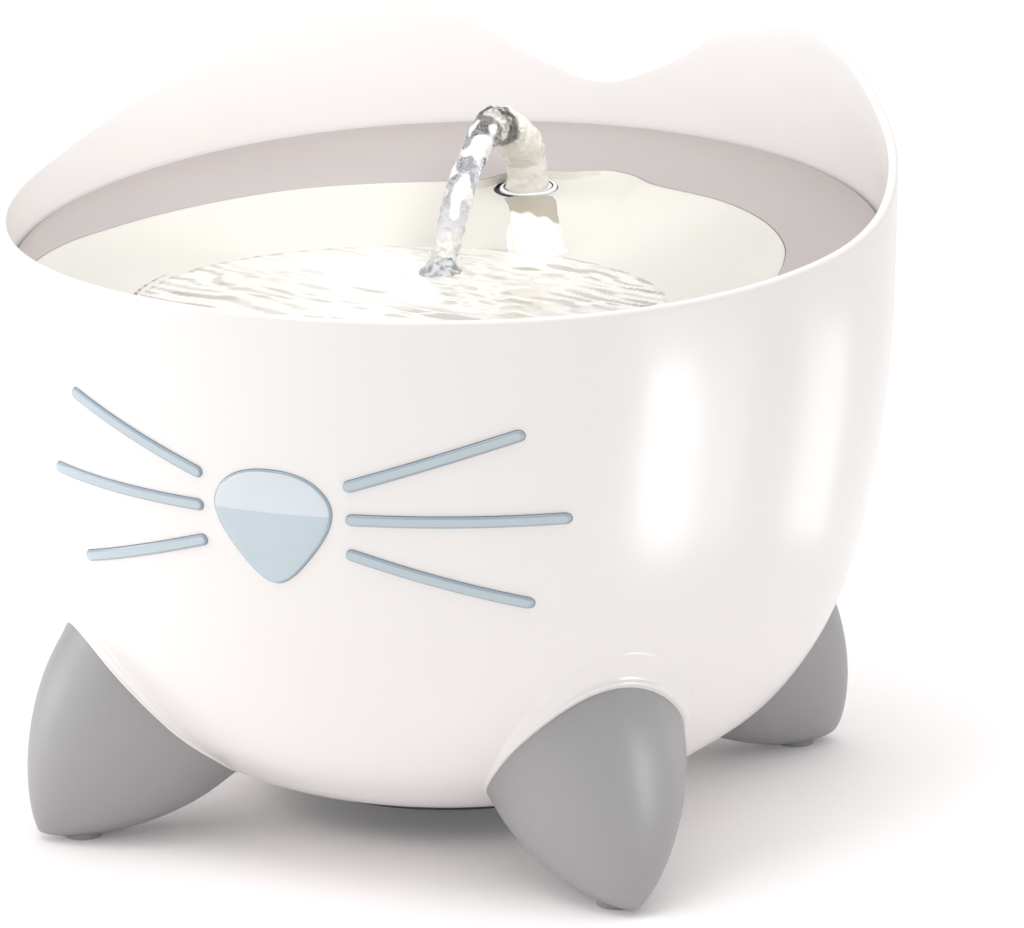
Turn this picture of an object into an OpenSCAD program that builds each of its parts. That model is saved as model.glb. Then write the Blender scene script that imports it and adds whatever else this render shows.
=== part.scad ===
// Pet water fountain: a round white tank with two ear-shaped rises, standing on four cone feet.
// A pump in the tank lifts water through a riser to a nozzle at the back of a round drinking dish.
// Frame: origin on the floor under the body's axis, +Z up, the face looks along -Y.

/* [Shell] */
// Outer diameter of the body at its rim
body_d = 240; // [236:1:244]
// Height of the front rim above the floor
rim_h = 159; // [157:0.5:162]
// Rise of the ear tips above the front rim
ear_rise = 42; // [36:1:46]
// Height of the body's underside above the floor
base_z = 10.7; // [10:0.1:11.4]
// Wall thickness of the shell
wall = 2.6; // [2.2:0.1:2.8]
// Height from the underside to the tank's inner floor
bay_h = 13.3; // [12.8:0.1:13.8]
// Thickness of the tank's floor
tank_floor_t = 2.6; // [2.2:0.1:2.8]

/* [Feet] */
// How far a foot's centre lies inside the body's side, level with it
foot_sink = 6; // [5:0.1:7]
// Angle of each foot from the front or back
foot_angle = 46; // [42:1:48]
// Tilt of a foot's cone from upright
foot_tilt = 136; // [134:0.5:138]
// Radius of a foot at its seat
foot_r = 30; // [28:0.5:31]
// Length of a foot's cone
foot_len = 45.5; // [43:0.5:48]
// Width of a foot as a share of its depth
foot_squeeze = 0.87; // [0.8:0.01:1]
// Wall thickness of a foot
foot_wall = 2.8; // [2.2:0.1:3.4]
// How far the hood stands proud of the foot under it
hood_lip = 1.4; // [0.8:0.1:2]
// How far a foot's screw stands inwards from the foot's centre
foot_screw_back = 2; // [1:0.5:4]
// Radius of a rubber pad
pad_r = 5; // [4:0.5:6]
// Height that a rubber pad stands proud of its foot
pad_proud = 0.4; // [0.2:0.1:0.8]
// Depth of a rubber pad's pocket in its foot
pad_pocket = 2.2; // [1.5:0.1:2.6]
// Clearance around a rubber pad in its pocket
pad_gap = 0.15; // [0.1:0.05:0.3]

/* [Screws] */
// Radius of a screw's thread
screw_r = 1.15; // [1:0.05:1.3]
// Radius of a screw's head
screw_head_r = 2.9; // [2.5:0.1:3]
// Height of a screw's head
screw_head_t = 1.1; // [0.9:0.1:1.2]
// Clearance around a screw's head and shank
screw_gap = 0.3; // [0.2:0.05:0.4]
// Outer radius of a screw boss
screw_boss_r = 4; // [3.6:0.1:4.2]

/* [Windows] */
// Width of a whisker window
whisker_w = 3.2; // [2.8:0.1:3.6]
// Width of the nose window
nose_w = 32; // [30:0.5:34]
// How far the nose window's top edge lies below the front rim
nose_drop = 42; // [41:0.5:43]
// Height of the nose window from tip to top
nose_h = 28.5; // [27:0.5:30]
// Height that a window stands proud of the shell
lens_proud = 0.9; // [0.4:0.1:1.2]
// Clearance around a window in the shell
lens_gap = 0.12; // [0.05:0.01:0.2]
// Width of the flange behind a window
lens_flange = 1.6; // [1.2:0.1:2]
// Thickness of the flange behind a window
lens_flange_t = 1.2; // [0.8:0.1:1.4]
// Thickness of a window's seal
lens_seal_t = 0.8; // [0.6:0.1:1]
// Depth of the light's housing behind the nose
light_depth = 7; // [6.5:0.1:8]

/* [Tray] */
// How far the tray deck lies below the front rim, at the body's axis
tray_drop = 6.4; // [5.5:0.1:7.5]
// Tilt of the tray deck towards the front
tray_tilt = 5.7; // [5.2:0.1:6]
// Gap between the tray and the shell's wall
tray_gap = 1; // [0.8:0.1:1.4]
// Thickness of the tray deck
deck_t = 2.4; // [2:0.1:2.8]
// Gap between the tray and the ledge it rests on
ledge_gap = 0.2; // [0.1:0.05:0.3]
// Width of the ledge inside the shell
ledge_w = 4; // [3.4:0.1:4]
// Thickness of the ledge inside the shell
ledge_t = 3; // [2.4:0.1:3.4]
// Travel of the tray when it is lifted off
tray_lift = 160; // [150:1:180]

/* [Dish] */
// How much smaller the dish's radius is than the body's
dish_margin = 18; // [17:0.5:20]
// How far the dish's round outline would reach past the tray's front
dish_over = 21.6; // [20.6:0.2:22.6]
// Sideways offset of the dish's outline
dish_x = 2; // [0:0.5:3]
// How much larger the radius of the arc that trims the dish's back is than the body's
dish_back_extra = 6; // [4:1:8]
// How far the dish's back edge lies in front of the nozzle's axis
dish_back_gap = 8; // [7:0.5:9]
// Radius of the lobe around the nozzle
lobe_r = 23; // [21:0.5:24]
// Sideways offset of the lobe
lobe_x = 12; // [6:1:14]
// How far the lobe's centre lies in front of the nozzle's axis
lobe_front = 9; // [8:0.5:10]
// How far the dish's edge sits below the deck
dish_step = 0.6; // [0.3:0.1:1]
// Width of the dish's flat edge
dish_edge = 1.5; // [1:0.1:2]
// Width of the flange under the deck
dish_flange = 5; // [3:0.5:6]
// Thickness of the dish
dish_t = 2.2; // [1.8:0.1:2.6]
// How much smaller the pool's radius is than the dish's
pool_margin = 32.5; // [31:0.5:35]
// How far the pool's surface lies below the deck, at the body's axis
pool_drop = 8.1; // [7.6:0.1:8.6]
// Depth of the pool
pool_depth = 7; // [5:0.5:8]
// Width of the slope round the dish's flat bottom
bowl_slope = 19.5; // [15:0.5:24]
// Width of the dish's front lip
front_lip = 3.9; // [3:0.1:4.5]

/* [Nozzle and riser] */
// Distance from the tray's back edge forward to the nozzle
nozzle_inset = 56.4; // [55.4:0.5:57.4]
// How far the nozzle's flange lies below the deck's level at the nozzle
nozzle_sink = 2.79; // [2.2:0.01:3.2]
// Radius of the water passage in the nozzle
nozzle_bore_r = 5.2; // [4.6:0.1:5.4]
// Outer radius of the nozzle's stem
nozzle_stem_r = 6.2; // [6:0.1:6.4]
// Outer radius of the nozzle's flange
nozzle_flange_r = 8; // [7.6:0.1:8.6]
// Thickness of the nozzle's flange
nozzle_flange_t = 1.2; // [0.9:0.1:1.5]
// Bend of the riser tube from upright
riser_angle = 35; // [30:1:40]
// Inner radius of the riser tube
riser_bore_r = 4.4; // [4:0.1:4.6]
// Wall thickness of the riser tube
riser_wall = 1.6; // [1.2:0.1:1.8]

/* [Pump] */
// Width of the pump
pump_w = 40; // [38:0.5:42]
// Height of the pump
pump_h = 30; // [29:0.5:32]
// Length of the pump's body
pump_len = 44; // [43:0.5:44.5]
// How far the pump body's front lies in front of the nozzle's axis
pump_ahead = 32; // [31.5:0.1:32.5]
// Corner radius of the pump
pump_corner = 6; // [4:0.5:8]
// Height of the suction cups
cup_h = 6; // [5:0.5:6.5]
// Radius of the impeller
impeller_r = 9.5; // [8.5:0.1:10]
// Radius of the magnet rotor
rotor_r = 5.6; // [5:0.1:6]
// Running gap around the rotor and impeller
rotor_gap = 0.6; // [0.4:0.1:0.8]
// Radius of the impeller's shaft
shaft_r = 1; // [0.8:0.05:1.2]
// Running clearance of the impeller on its shaft
shaft_gap = 0.06; // [0.03:0.01:0.09]
// Length of the strainer cover
cover_len = 19; // [18:0.5:21]
// Travel of the strainer cover when it is pulled off
cover_slide = 22; // [20:1:26]
// Radius of the flow dial
dial_r = 7; // [6:0.5:8]

/* [Filter] */
// Width of the filter cartridge
filter_w = 72; // [68:1:74]
// Depth of the filter cartridge, front to back
filter_d = 32; // [30:0.5:34]
// Height of the filter cartridge
filter_h = 20; // [18:1:22]
// Clearance around the filter cartridge
filter_gap = 0.4; // [0.3:0.05:0.6]
// Wall thickness of the filter's holder and frame
filter_wall = 1.8; // [1.5:0.1:2.2]

/* [Power] */
// Height of the power inlet's axis above the underside
inlet_rise = 6.8; // [6.6:0.1:6.9]
// How far the inlet's face stands out behind the body
inlet_proud = 10.5; // [9.5:0.5:11.5]
// Radius of the inlet's barrel socket
inlet_bore_r = 1.9; // [1.7:0.05:2.1]
// Outer radius of the inlet's sleeve
inlet_sleeve_r = 3.6; // [3.3:0.1:3.7]
// Radius of a lead inside the body
lead_r = 1.4; // [1.2:0.1:1.5]

/* [Hidden] */
$fn = 96;

// A hair of overlap, so that a cutter passes right through
eps = 0.01;
far = 300;

// ---------- Curves ----------

// Direction of a smooth curve through the points at one of them; flat ends lie level
function tangent(p, i, flat) =
    let (a = max(i - 1, 0), b = min(i + 1, len(p) - 1), t = (p[b] - p[a]) / (b - a))
    flat && (i == 0 || i == len(p) - 1) ? [t[0], 0] : t;
function curve_point(p, i, t, flat) =
    let (t2 = t * t, t3 = t2 * t)
    (2 * t3 - 3 * t2 + 1) * p[i] + (t3 - 2 * t2 + t) * tangent(p, i, flat)
    + (3 * t2 - 2 * t3) * p[i + 1] + (t3 - t2) * tangent(p, i + 1, flat);
function curve(p, steps, flat = false) =
    [for (i = [0:len(p) - 2], k = [0:steps - 1]) curve_point(p, i, k / steps, flat), p[len(p) - 1]];
function swap(p) = [for (q = p) [q[1], q[0]]];
function backwards(p) = [for (i = [len(p) - 1:-1:0]) p[i]];

// ---------- Body outline ----------

body_r = body_d / 2;
ear_z = rim_h + ear_rise;
tank_floor_z = base_z + bay_h;
bay_top = tank_floor_z - tank_floor_t;
tray_z = rim_h - tray_drop;
tray_r = body_r - wall - tray_gap;
nozzle_y = tray_r - nozzle_inset;
pump_y = nozzle_y - pump_ahead;
// The side's stations, bottom to rim, each [share of the radius, share of the height]
side_shape = [[0.384, 0], [0.528, 0.03], [0.639, 0.08], [0.762, 0.16], [0.862, 0.28], [0.925, 0.421],
    [0.968, 0.601], [0.994, 0.801], [1, 1]];
side_curve = [for (s = curve(side_shape, 3)) [s[0] * body_r, base_z + s[1] * (rim_h - base_z)]];
side_last = len(side_curve) - 1;
function side_normal(i) =
    let (t = side_curve[min(i + 1, side_last)] - side_curve[max(i - 1, 0)])
    i == side_last ? [1, 0] : [t[1], -t[0]] / norm(t);
// The side's outline moved outwards by d, or inwards where d is negative
function skin(d) = [for (i = [0:side_last]) side_curve[i] + d * side_normal(i)];
function skin_r(d, z) = lookup(z, swap(skin(d)));
function skin_z(d, r) = lookup(r, skin(d));

// The rim's stations from front to back, each [angle from the front, share of the ear's rise]
rim_shape = [[0, 0], [45, 0.024], [75, 0.114], [90, 0.202], [100, 0.31], [120, 0.595], [135, 0.869],
    [148, 1], [160, 0.869], [170, 0.595], [180, 0.436]];
rim_curve = curve(rim_shape, 4, true);
// The rim is cut from the side up to the ear tips, and from the back between them
ear_angle = 148;
rim_split = -body_r * cos(ear_angle);
rim_side = [for (q = rim_curve) if (q[0] <= ear_angle) [-body_r * cos(q[0]), rim_h + ear_rise * q[1]]];
rim_back = [for (q = rim_curve) if (q[0] >= ear_angle) [body_r * sin(q[0]), rim_h + ear_rise * q[1]]];

// Solid of revolution inside the skin moved by d
module body_solid(d, top = ear_z) {
    p = skin(d);
    rotate_extrude() polygon(concat([[0, p[0][1]]], p, [[p[side_last][0], top], [0, top]]));
}

// A band of the skin between two offsets, from height z0 to z1
module skin_band(d0, d1, z0, z1) {
    pad = 6;
    a = skin(d0);
    b = skin(d1);
    keep = [for (i = [0:side_last]) if (side_curve[i][1] > z0 - pad && side_curve[i][1] < z1 + pad) i];
    rotate_extrude() polygon(concat([for (i = keep) b[i]], backwards([for (i = keep) a[i]])));
}

// Everything above the rim's wavy line
module above_rim() {
    out = body_r + 1;
    over = ear_z + 1;
    back = concat([[-out, ear_z]], [for (q = rim_back) [-q[0], q[1]]],
        backwards([for (i = [0:len(rim_back) - 2]) rim_back[i]]), [[out, ear_z], [out, over], [-out, over]]);
    translate([0, out, 0]) rotate([90, 0, 0]) linear_extrude(out - rim_split) polygon(back);
    side = concat([[-out, rim_side[0][1]]], rim_side, [[rim_split, over], [-out, over]]);
    translate([-out, 0, 0]) rotate([90, 0, 90]) linear_extrude(2 * out) polygon(side);
}

// ---------- Feet ----------

foot_angles = [-foot_angle, foot_angle, foot_angle - 180, 180 - foot_angle];
cone_power = 1.6;
cone_round = 0.75;
cone_flare = 0.3;
cone_steps = 14;
function cone_radius(n, r, l) = n <= 0 ? r - cone_flare * n : r * pow(1 - pow(n / l, cone_power), cone_round);
function cone_outline(r, l, rise) = concat(
    rise > 0 ? [[cone_radius(-rise, r, l), -rise]] : [],
    [for (k = [0:cone_steps - 1]) let (n = l * sin(90 * k / cone_steps)) [cone_radius(n, r, l), n]], [[0, l]]);
// How deep each point of the cone's lower edge hangs below the foot's centre, and how far out it lies
foot_edge = [for (q = cone_outline(foot_r, foot_len, 0)) [q[0] * sin(foot_tilt) - q[1] * cos(foot_tilt),
    q[0] * cos(foot_tilt) + q[1] * sin(foot_tilt)]];
// A hood is what two round cones share, which stand this far apart to either side
hood_spread = foot_r * (1 - foot_squeeze);
foot_drop = max([for (q = foot_edge) q[0]]);
foot_z = pad_proud + foot_drop;
foot_reach = skin_r(0, foot_z) - foot_sink;
foot_screw_reach = foot_reach - foot_screw_back;
pad_reach = foot_reach + [for (q = foot_edge) if (q[0] == foot_drop) q[1]][0];
// Solid length of a foot's tip
foot_tip = 9;
hood_h = 9;
hood_flare = 0.55;
// Height of a screw boss under the body, and what its screw leaves free at each end
boss_drop = 14;
boss_z = skin_z(0, foot_screw_reach) - boss_drop;
boss_floor = 1.5;
foot_boss_wall = 1;
screw_seat = 4;
screw_slot_w = 0.7;
screw_slot_l = 4;
cone_fn = 180;

module turned_to(angle) rotate([0, 0, angle - 90]) children();
module at_foot(angle) turned_to(angle) translate([foot_reach, 0, foot_z]) rotate([0, foot_tilt, 0]) children();

module foot_cone(r, l, rise = 0) {
    p = cone_outline(r, l, rise);
    scale([1, foot_squeeze, 1]) rotate_extrude($fn = cone_fn) polygon(concat([[0, -rise]], p));
}

module foot(angle) difference() {
    union() {
        at_foot(angle) difference() {
            foot_cone(foot_r, foot_len);
            translate([0, 0, -eps]) foot_cone(foot_r - foot_wall, foot_len - foot_tip);
        }
        intersection() {
            turned_to(angle) translate([foot_screw_reach, 0, 0])
                cylinder(r = screw_boss_r + foot_boss_wall, h = boss_z);
            at_foot(angle) foot_cone(foot_r, foot_len);
        }
    }
    body_solid(0);
    turned_to(angle) {
        translate([foot_screw_reach, 0, -eps]) cylinder(r = screw_r + screw_gap, h = boss_z + 1);
        translate([foot_screw_reach, 0, -eps])
            cylinder(r = screw_head_r + screw_gap, h = boss_z - screw_seat + eps);
        translate([pad_reach, 0, -eps]) cylinder(r = pad_r + pad_gap, h = pad_proud + pad_pocket + eps);
    }
}

module foot_hoods() for (angle = foot_angles) at_foot(angle) intersection_for (side = [-1, 1])
    translate([0, side * hood_spread, -hood_h])
        cylinder(r1 = foot_r + hood_lip + hood_flare * hood_h, r2 = foot_r + hood_lip, h = hood_h);

module foot_bosses() for (angle = foot_angles)
    turned_to(angle) translate([foot_screw_reach, 0, boss_z]) cylinder(r = screw_boss_r, h = boss_drop + wall);

module foot_boss_pilots() for (angle = foot_angles)
    turned_to(angle) translate([foot_screw_reach, 0, boss_z - eps])
        cylinder(r = screw_r, h = boss_drop - boss_floor);

module screw(length) difference() {
    union() {
        translate([0, 0, -screw_head_t]) cylinder(r = screw_head_r, h = screw_head_t);
        cylinder(r = screw_r, h = length);
    }
    for (a = [0, 90]) rotate([0, 0, a]) translate([0, 0, -screw_head_t + screw_slot_w / 2 - eps])
        cube([screw_slot_l, screw_slot_w, screw_slot_w], center = true);
}

module foot_pads() color("dimgray") for (angle = foot_angles)
    turned_to(angle) translate([pad_reach, 0, 0]) cylinder(r = pad_r, h = pad_proud + pad_pocket);

module foot_screws() color("silver") for (angle = foot_angles)
    turned_to(angle) translate([foot_screw_reach, 0, boss_z - screw_seat])
        screw(screw_seat + boss_drop - 2 * boss_floor);

// ---------- Windows ----------

nose_top_z = rim_h - nose_drop;
// Each whisker's centre line: [outer angle, outer height, inner angle, inner height]
whisker_upper = [30.5, nose_top_z + 12.8, 10.1, nose_top_z - 0.7];
whisker_middle = [36.5, nose_top_z - 9.6, 10.3, nose_top_z - 9.6];
whisker_lower = [32.2, nose_top_z - 31.9, 10.2, nose_top_z - 19];
whiskers = [whisker_upper, whisker_middle, whisker_lower];
cap_steps = 6;

function whisker_end(angle, z, side) = [side * skin_r(0, z) * sin(angle), z];

// Cuts a flat outline in the XZ plane through the front of the body
module through_front() rotate([90, 0, 0]) linear_extrude(2 * body_r) children();

// A straight slot with round ends
module whisker_outline(w, side, grow = 0) {
    ends = [whisker_end(w[0], w[1], side), whisker_end(w[2], w[3], side)];
    along = ends[1] - ends[0];
    turn = atan2(along[1], along[0]);
    polygon([for (e = [0, 1], k = [0:cap_steps]) let (a = turn + 90 + 180 * (e + k / cap_steps))
        ends[e] + (whisker_w / 2 + grow) * [cos(a), sin(a)]]);
}

// Centres and radii of the circles that bound the nose, as shares of its width and height
nose_circles = [[0.3, 0.74, 0.2], [0, 0.62, 0.335], [0.235, 0.55, 0.2], [0, 0.13, 0.095]];
module nose_outline(grow = 0) {
    base = nose_top_z - nose_h;
    hull() for (side = [-1, 1], c = nose_circles)
        translate([side * c[0] * nose_w, base + c[1] * nose_h]) circle(r = c[2] * nose_w + grow, $fn = 32);
}

lens_in = wall + lens_seal_t;
lens_back = lens_in + lens_flange_t;
// The lowest and highest points of the windows, for the bands of skin they are cut from
window_low = whisker_lower[1] - 2 * whisker_w;
window_high = whisker_upper[1] + 2 * whisker_w;

module whisker_lens(w, side) color("lightblue") {
    intersection() {
        through_front() whisker_outline(w, side, -lens_gap);
        skin_band(-lens_in, lens_proud, window_low, window_high);
    }
    intersection() {
        through_front() whisker_outline(w, side, lens_flange);
        skin_band(-lens_back, -lens_in, window_low, window_high);
    }
}

module whisker_seals() color("gainsboro") for (side = [-1, 1], w = whiskers) difference() {
    intersection() {
        through_front() whisker_outline(w, side, lens_flange);
        skin_band(-lens_in, -wall, window_low, window_high);
    }
    through_front() whisker_outline(w, side, -lens_gap);
}

module nose_lens() color("lightblue") {
    intersection() {
        through_front() nose_outline(-lens_gap);
        skin_band(-lens_in, lens_proud, window_low, window_high);
    }
    intersection() {
        through_front() nose_outline(lens_flange);
        skin_band(-lens_back, -lens_in, window_low, window_high);
    }
}

module nose_seal() color("gainsboro") difference() {
    intersection() {
        through_front() nose_outline(lens_flange);
        skin_band(-lens_in, -wall, window_low, window_high);
    }
    through_front() nose_outline(-lens_gap);
}

// ---------- Light behind the nose ----------

light_wall = 1.4;
light_grow = lens_flange + 0.6;
light_exit_gap = 0.3;
light_mid_z = nose_top_z - nose_h / 2;
light_front = lens_back;
light_back = lens_back + light_depth;
board_half_w = 8;
board_half_h = 7;
board_t = 1;
board_y = skin_r(-light_front, light_mid_z - board_half_h) - 2.2;
board_post_r = 1.2;
led_r = 1.2;
led_pitch = 5;
light_exit_z = light_mid_z - nose_h / 2 - light_grow;
light_exit_y = skin_r(-light_back, light_exit_z) + light_wall + lead_r + light_exit_gap;

module light_outline(grow) translate([0, light_mid_z])
    square([nose_w + 2 * grow, nose_h + 2 * grow], center = true);

module light_housing() color("white") difference() {
    union() {
        difference() {
            intersection() {
                through_front() light_outline(light_grow);
                skin_band(-light_back, -light_front, window_low, window_high);
            }
            intersection() {
                through_front() light_outline(light_grow - light_wall);
                skin_band(-(light_back - light_wall), -light_front + eps, window_low, window_high);
            }
        }
        for (x = [-1, 1]) intersection() {
            translate([x * board_half_w * 0.6, 0, light_mid_z]) rotate([90, 0, 0])
                cylinder(r = board_post_r, h = board_y - board_t);
            skin_band(-light_back, -light_front, window_low, window_high);
        }
    }
    translate([0, -light_exit_y, light_exit_z - 1]) cylinder(r = lead_r, h = light_wall + 2);
}

module light_board() color("seagreen") {
    translate([-board_half_w, -board_y, light_mid_z - board_half_h])
        cube([2 * board_half_w, board_t, 2 * board_half_h]);
    for (x = [-1, 0, 1]) translate([x * led_pitch, -board_y, light_mid_z]) rotate([90, 0, 0])
        cylinder(r = led_r, h = board_t);
}

// ---------- Leads ----------

lead_sides = 8;
function unit(v) = v / norm(v);
function ring_at(c, t, aside, r) = let (u = unit(cross(t, aside)), v = cross(unit(t), u))
    [for (k = [0:lead_sides - 1]) let (a = 360 * k / lead_sides) c + r * (cos(a) * u + sin(a) * v)];

// Round tube along a route; aside is a direction that the route never takes
module lead(route, aside, r = lead_r) {
    p = curve(route, 3);
    n = len(p);
    points = [for (i = [0:n - 1]) each ring_at(p[i], p[min(i + 1, n - 1)] - p[max(i - 1, 0)], aside, r)];
    sides = [for (i = [0:n - 2], k = [0:lead_sides - 1]) let (a = i * lead_sides, m = (k + 1) % lead_sides)
        [a + k, a + m, a + lead_sides + m, a + lead_sides + k]];
    polyhedron(points, concat([backwards([for (k = [0:lead_sides - 1]) k])], sides,
        [[for (k = [0:lead_sides - 1]) (n - 1) * lead_sides + k]]));
}

light_gland_gap = 16.14;
pump_gland = [-pump_w / 2 - 18, pump_y + 16];
light_gland = [0, light_gland_gap - skin_r(-wall, tank_floor_z)];
grommet_r = 3.4;
grommet_flange_r = 4.8;
grommet_flange_t = 1.1;
board_z = base_z + 4;
pcb_t = 1.6;
pcb_w = 48;
pcb_d = 32;
chip_w = 8;
chip_t = 1.4;
capacitor_r = 2.4;
capacitor_h = 3.4;

module lead_grommets() color("dimgray") for (g = [pump_gland, light_gland]) translate(g) difference() {
    union() {
        translate([0, 0, bay_top]) cylinder(r = grommet_r, h = tank_floor_t);
        translate([0, 0, tank_floor_z]) cylinder(r = grommet_flange_r, h = grommet_flange_t);
        translate([0, 0, bay_top - grommet_flange_t]) cylinder(r = grommet_flange_r, h = grommet_flange_t);
    }
    translate([0, 0, bay_top - 5]) cylinder(r = lead_r, h = 10);
}

wall_clear = lead_r + 0.7;
light_low_z = tank_floor_z + 8;
// Heights at which the light's lead lies along the wall, as shares of its way down
light_lead_shares = [0.3, 0.575, 0.815];

module light_lead() color("dimgray") lead(concat(
    [[0, -light_exit_y, light_exit_z + 2], [0, -light_exit_y, light_exit_z - 3]],
    [for (s = light_lead_shares) let (z = light_exit_z - s * (light_exit_z - light_low_z))
        [0, -skin_r(-wall - wall_clear, z), z]],
    [[0, light_gland[1] - 17, light_low_z], [0, light_gland[1] - 6, light_low_z - 0.5],
    [0, light_gland[1], tank_floor_z + 2], [0, light_gland[1], bay_top - 0.5],
    [0, light_gland[1] + 6, board_z + pcb_t + 2.5], [0, -pcb_d / 2 + 3, board_z + pcb_t + lead_r]]), [1, 0, 0]);

module pump_lead() color("dimgray") lead([[-pump_w / 2 - 0.2, pump_y + 32, pump_z + 8],
    [-pump_w / 2 - 5, pump_y + 31.5, pump_z + 8], [-pump_w / 2 - 12, pump_y + 27, pump_z + 6.5],
    [-pump_w / 2 - 17, pump_y + 20, pump_z + 3], [pump_gland[0], pump_gland[1], tank_floor_z + 3],
    [pump_gland[0], pump_gland[1], bay_top - 0.2],
    [pump_gland[0] + 3, pump_gland[1] - 5.5, board_z + pcb_t + 1.9],
    [-pcb_w / 2 - 1, pcb_d / 2 + 6, board_z + pcb_t + 1.6], [-14, pcb_d / 2 - 4, board_z + pcb_t + lead_r]],
    [0.6, 0.5, -0.6]);

// ---------- Power inlet ----------

inlet_z = base_z + inlet_rise;
inlet_face_y = skin_r(0, inlet_z) + inlet_proud;
inlet_flange_t = 1.4;
inlet_seal_t = 0.8;
inlet_flange_r = inlet_sleeve_r + 2;
inlet_boss_r = inlet_flange_r + 1;
inlet_len = 22;
inlet_rear_y = inlet_face_y - inlet_len;
inlet_depth = 10;
inlet_pin_r = 0.6;

module along_y(y, z) translate([0, y, z]) rotate([-90, 0, 0]) children();

module power_inlet() color("dimgray") {
    out = inlet_face_y + inlet_seal_t + inlet_flange_t;
    difference() {
        union() {
            along_y(inlet_rear_y, inlet_z) cylinder(r = inlet_sleeve_r, h = out - inlet_rear_y);
            along_y(out - inlet_flange_t, inlet_z) cylinder(r = inlet_flange_r, h = inlet_flange_t);
        }
        along_y(out - inlet_depth, inlet_z) cylinder(r = inlet_bore_r, h = inlet_depth + 1);
    }
    along_y(out - inlet_depth - 1, inlet_z) cylinder(r = inlet_pin_r, h = inlet_depth);
}

module inlet_seal() color("black") difference() {
    along_y(inlet_face_y, inlet_z) cylinder(r = inlet_flange_r - 0.3, h = inlet_seal_t);
    along_y(inlet_face_y - 1, inlet_z) cylinder(r = inlet_sleeve_r, h = inlet_seal_t + 2);
}

module inlet_lead() color("dimgray") lead([[0, inlet_rear_y, inlet_z], [0, inlet_rear_y - 5, inlet_z],
    [0, pcb_d / 2 + 18, board_z + pcb_t + 2.4], [0, pcb_d / 2 - 2, board_z + pcb_t + lead_r]], [1, 0, 0]);

module control_board() color("seagreen") {
    translate([-pcb_w / 2, -pcb_d / 2, board_z]) cube([pcb_w, pcb_d, pcb_t]);
    translate([-pcb_w / 2 + 6, -pcb_d / 2 + 7, board_z + pcb_t]) cube([chip_w, chip_w, chip_t]);
    for (x = [1, 2]) translate([x * pcb_w / 6, -pcb_d / 2 + 9, board_z + pcb_t])
        cylinder(r = capacitor_r, h = capacitor_h);
}

// ---------- Shell and base ----------

cover_r = side_curve[0][0] + 1.42;
cover_t = 1.6;
cover_rib_w = 2;
cover_rib_gap = 0.4;
cover_post_r = 2.2;
cover_boss_reach = side_curve[0][0] - 10.08;
cover_angles = [90, 210, 330];
cover_recess = screw_head_t + 0.1;

module cover_boss_points() for (a = cover_angles) rotate([0, 0, a]) translate([0, -cover_boss_reach, 0]) children();

module shell_wall() {
    p = skin(-wall);
    inner_up = [for (q = p) if (q[1] > tank_floor_z) q];
    inner_low = [for (q = p) if (q[1] < bay_top) q];
    rotate_extrude() polygon(concat(side_curve, [[body_r, ear_z], [body_r - wall, ear_z]], backwards(inner_up),
        [[skin_r(-wall, tank_floor_z), tank_floor_z], [0, tank_floor_z], [0, bay_top],
        [skin_r(-wall, bay_top), bay_top]], backwards(inner_low)));
}

module tray_frame() translate([0, 0, tray_z]) rotate([tray_tilt, 0, 0]) children();
// A wide tilted slab between two levels measured from the deck's top
module tray_slab(low, high) tray_frame() translate([-far / 2, -far / 2, low]) cube([far, far, high - low]);

module tray_ledge() intersection() {
    difference() {
        body_solid(-wall);
        cylinder(r = body_r - wall - ledge_w, h = far);
    }
    tray_slab(-deck_t - ledge_gap - ledge_t, -deck_t - ledge_gap);
}

module outer_shell() color("white") difference() {
    union() {
        difference() {
            shell_wall();
            for (side = [-1, 1], w = whiskers) through_front() whisker_outline(w, side);
            through_front() nose_outline();
            above_rim();
        }
        tray_ledge();
        difference() {
            union() {
                foot_hoods();
                foot_bosses();
                along_y(inlet_rear_y, inlet_z) cylinder(r = inlet_boss_r, h = inlet_len);
            }
            body_solid(-wall / 2);
        }
        cover_boss_points() translate([0, 0, base_z]) cylinder(r = screw_boss_r, h = bay_top - base_z + 1);
    }
    foot_boss_pilots();
    cover_boss_points() translate([0, 0, base_z - eps]) cylinder(r = screw_r, h = bay_top - base_z - 1);
    along_y(inlet_rear_y - inlet_len, inlet_z) cylinder(r = inlet_sleeve_r, h = inlet_face_y);
    for (g = [pump_gland, light_gland]) translate([g[0], g[1], bay_top - 1])
        cylinder(r = grommet_r, h = tank_floor_t + 2);
}

module bottom_cover() color("dimgray") difference() {
    union() {
        translate([0, 0, base_z - cover_t]) cylinder(r = cover_r, h = cover_t);
        translate([0, 0, base_z]) difference() {
            cylinder(r = skin(-wall)[0][0] - cover_rib_gap, h = cover_rib_w);
            translate([0, 0, -1])
                cylinder(r = skin(-wall)[0][0] - cover_rib_gap - cover_rib_w, h = cover_rib_w + 2);
        }
        for (x = [-1, 1], y = [-1, 1]) translate([x * (pcb_w / 2 - 4), y * (pcb_d / 2 - 4), base_z])
            cylinder(r = cover_post_r, h = board_z - base_z);
    }
    cover_boss_points() {
        translate([0, 0, base_z - cover_t - 1]) cylinder(r = screw_r + screw_gap, h = 4);
        translate([0, 0, base_z - cover_t - 1]) cylinder(r = screw_head_r + screw_gap, h = 1 + cover_recess);
    }
}

module cover_screws() color("silver") cover_boss_points()
    translate([0, 0, base_z - cover_t + cover_recess]) screw(bay_top - base_z - 1.2);

// ---------- Pump ----------

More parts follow.
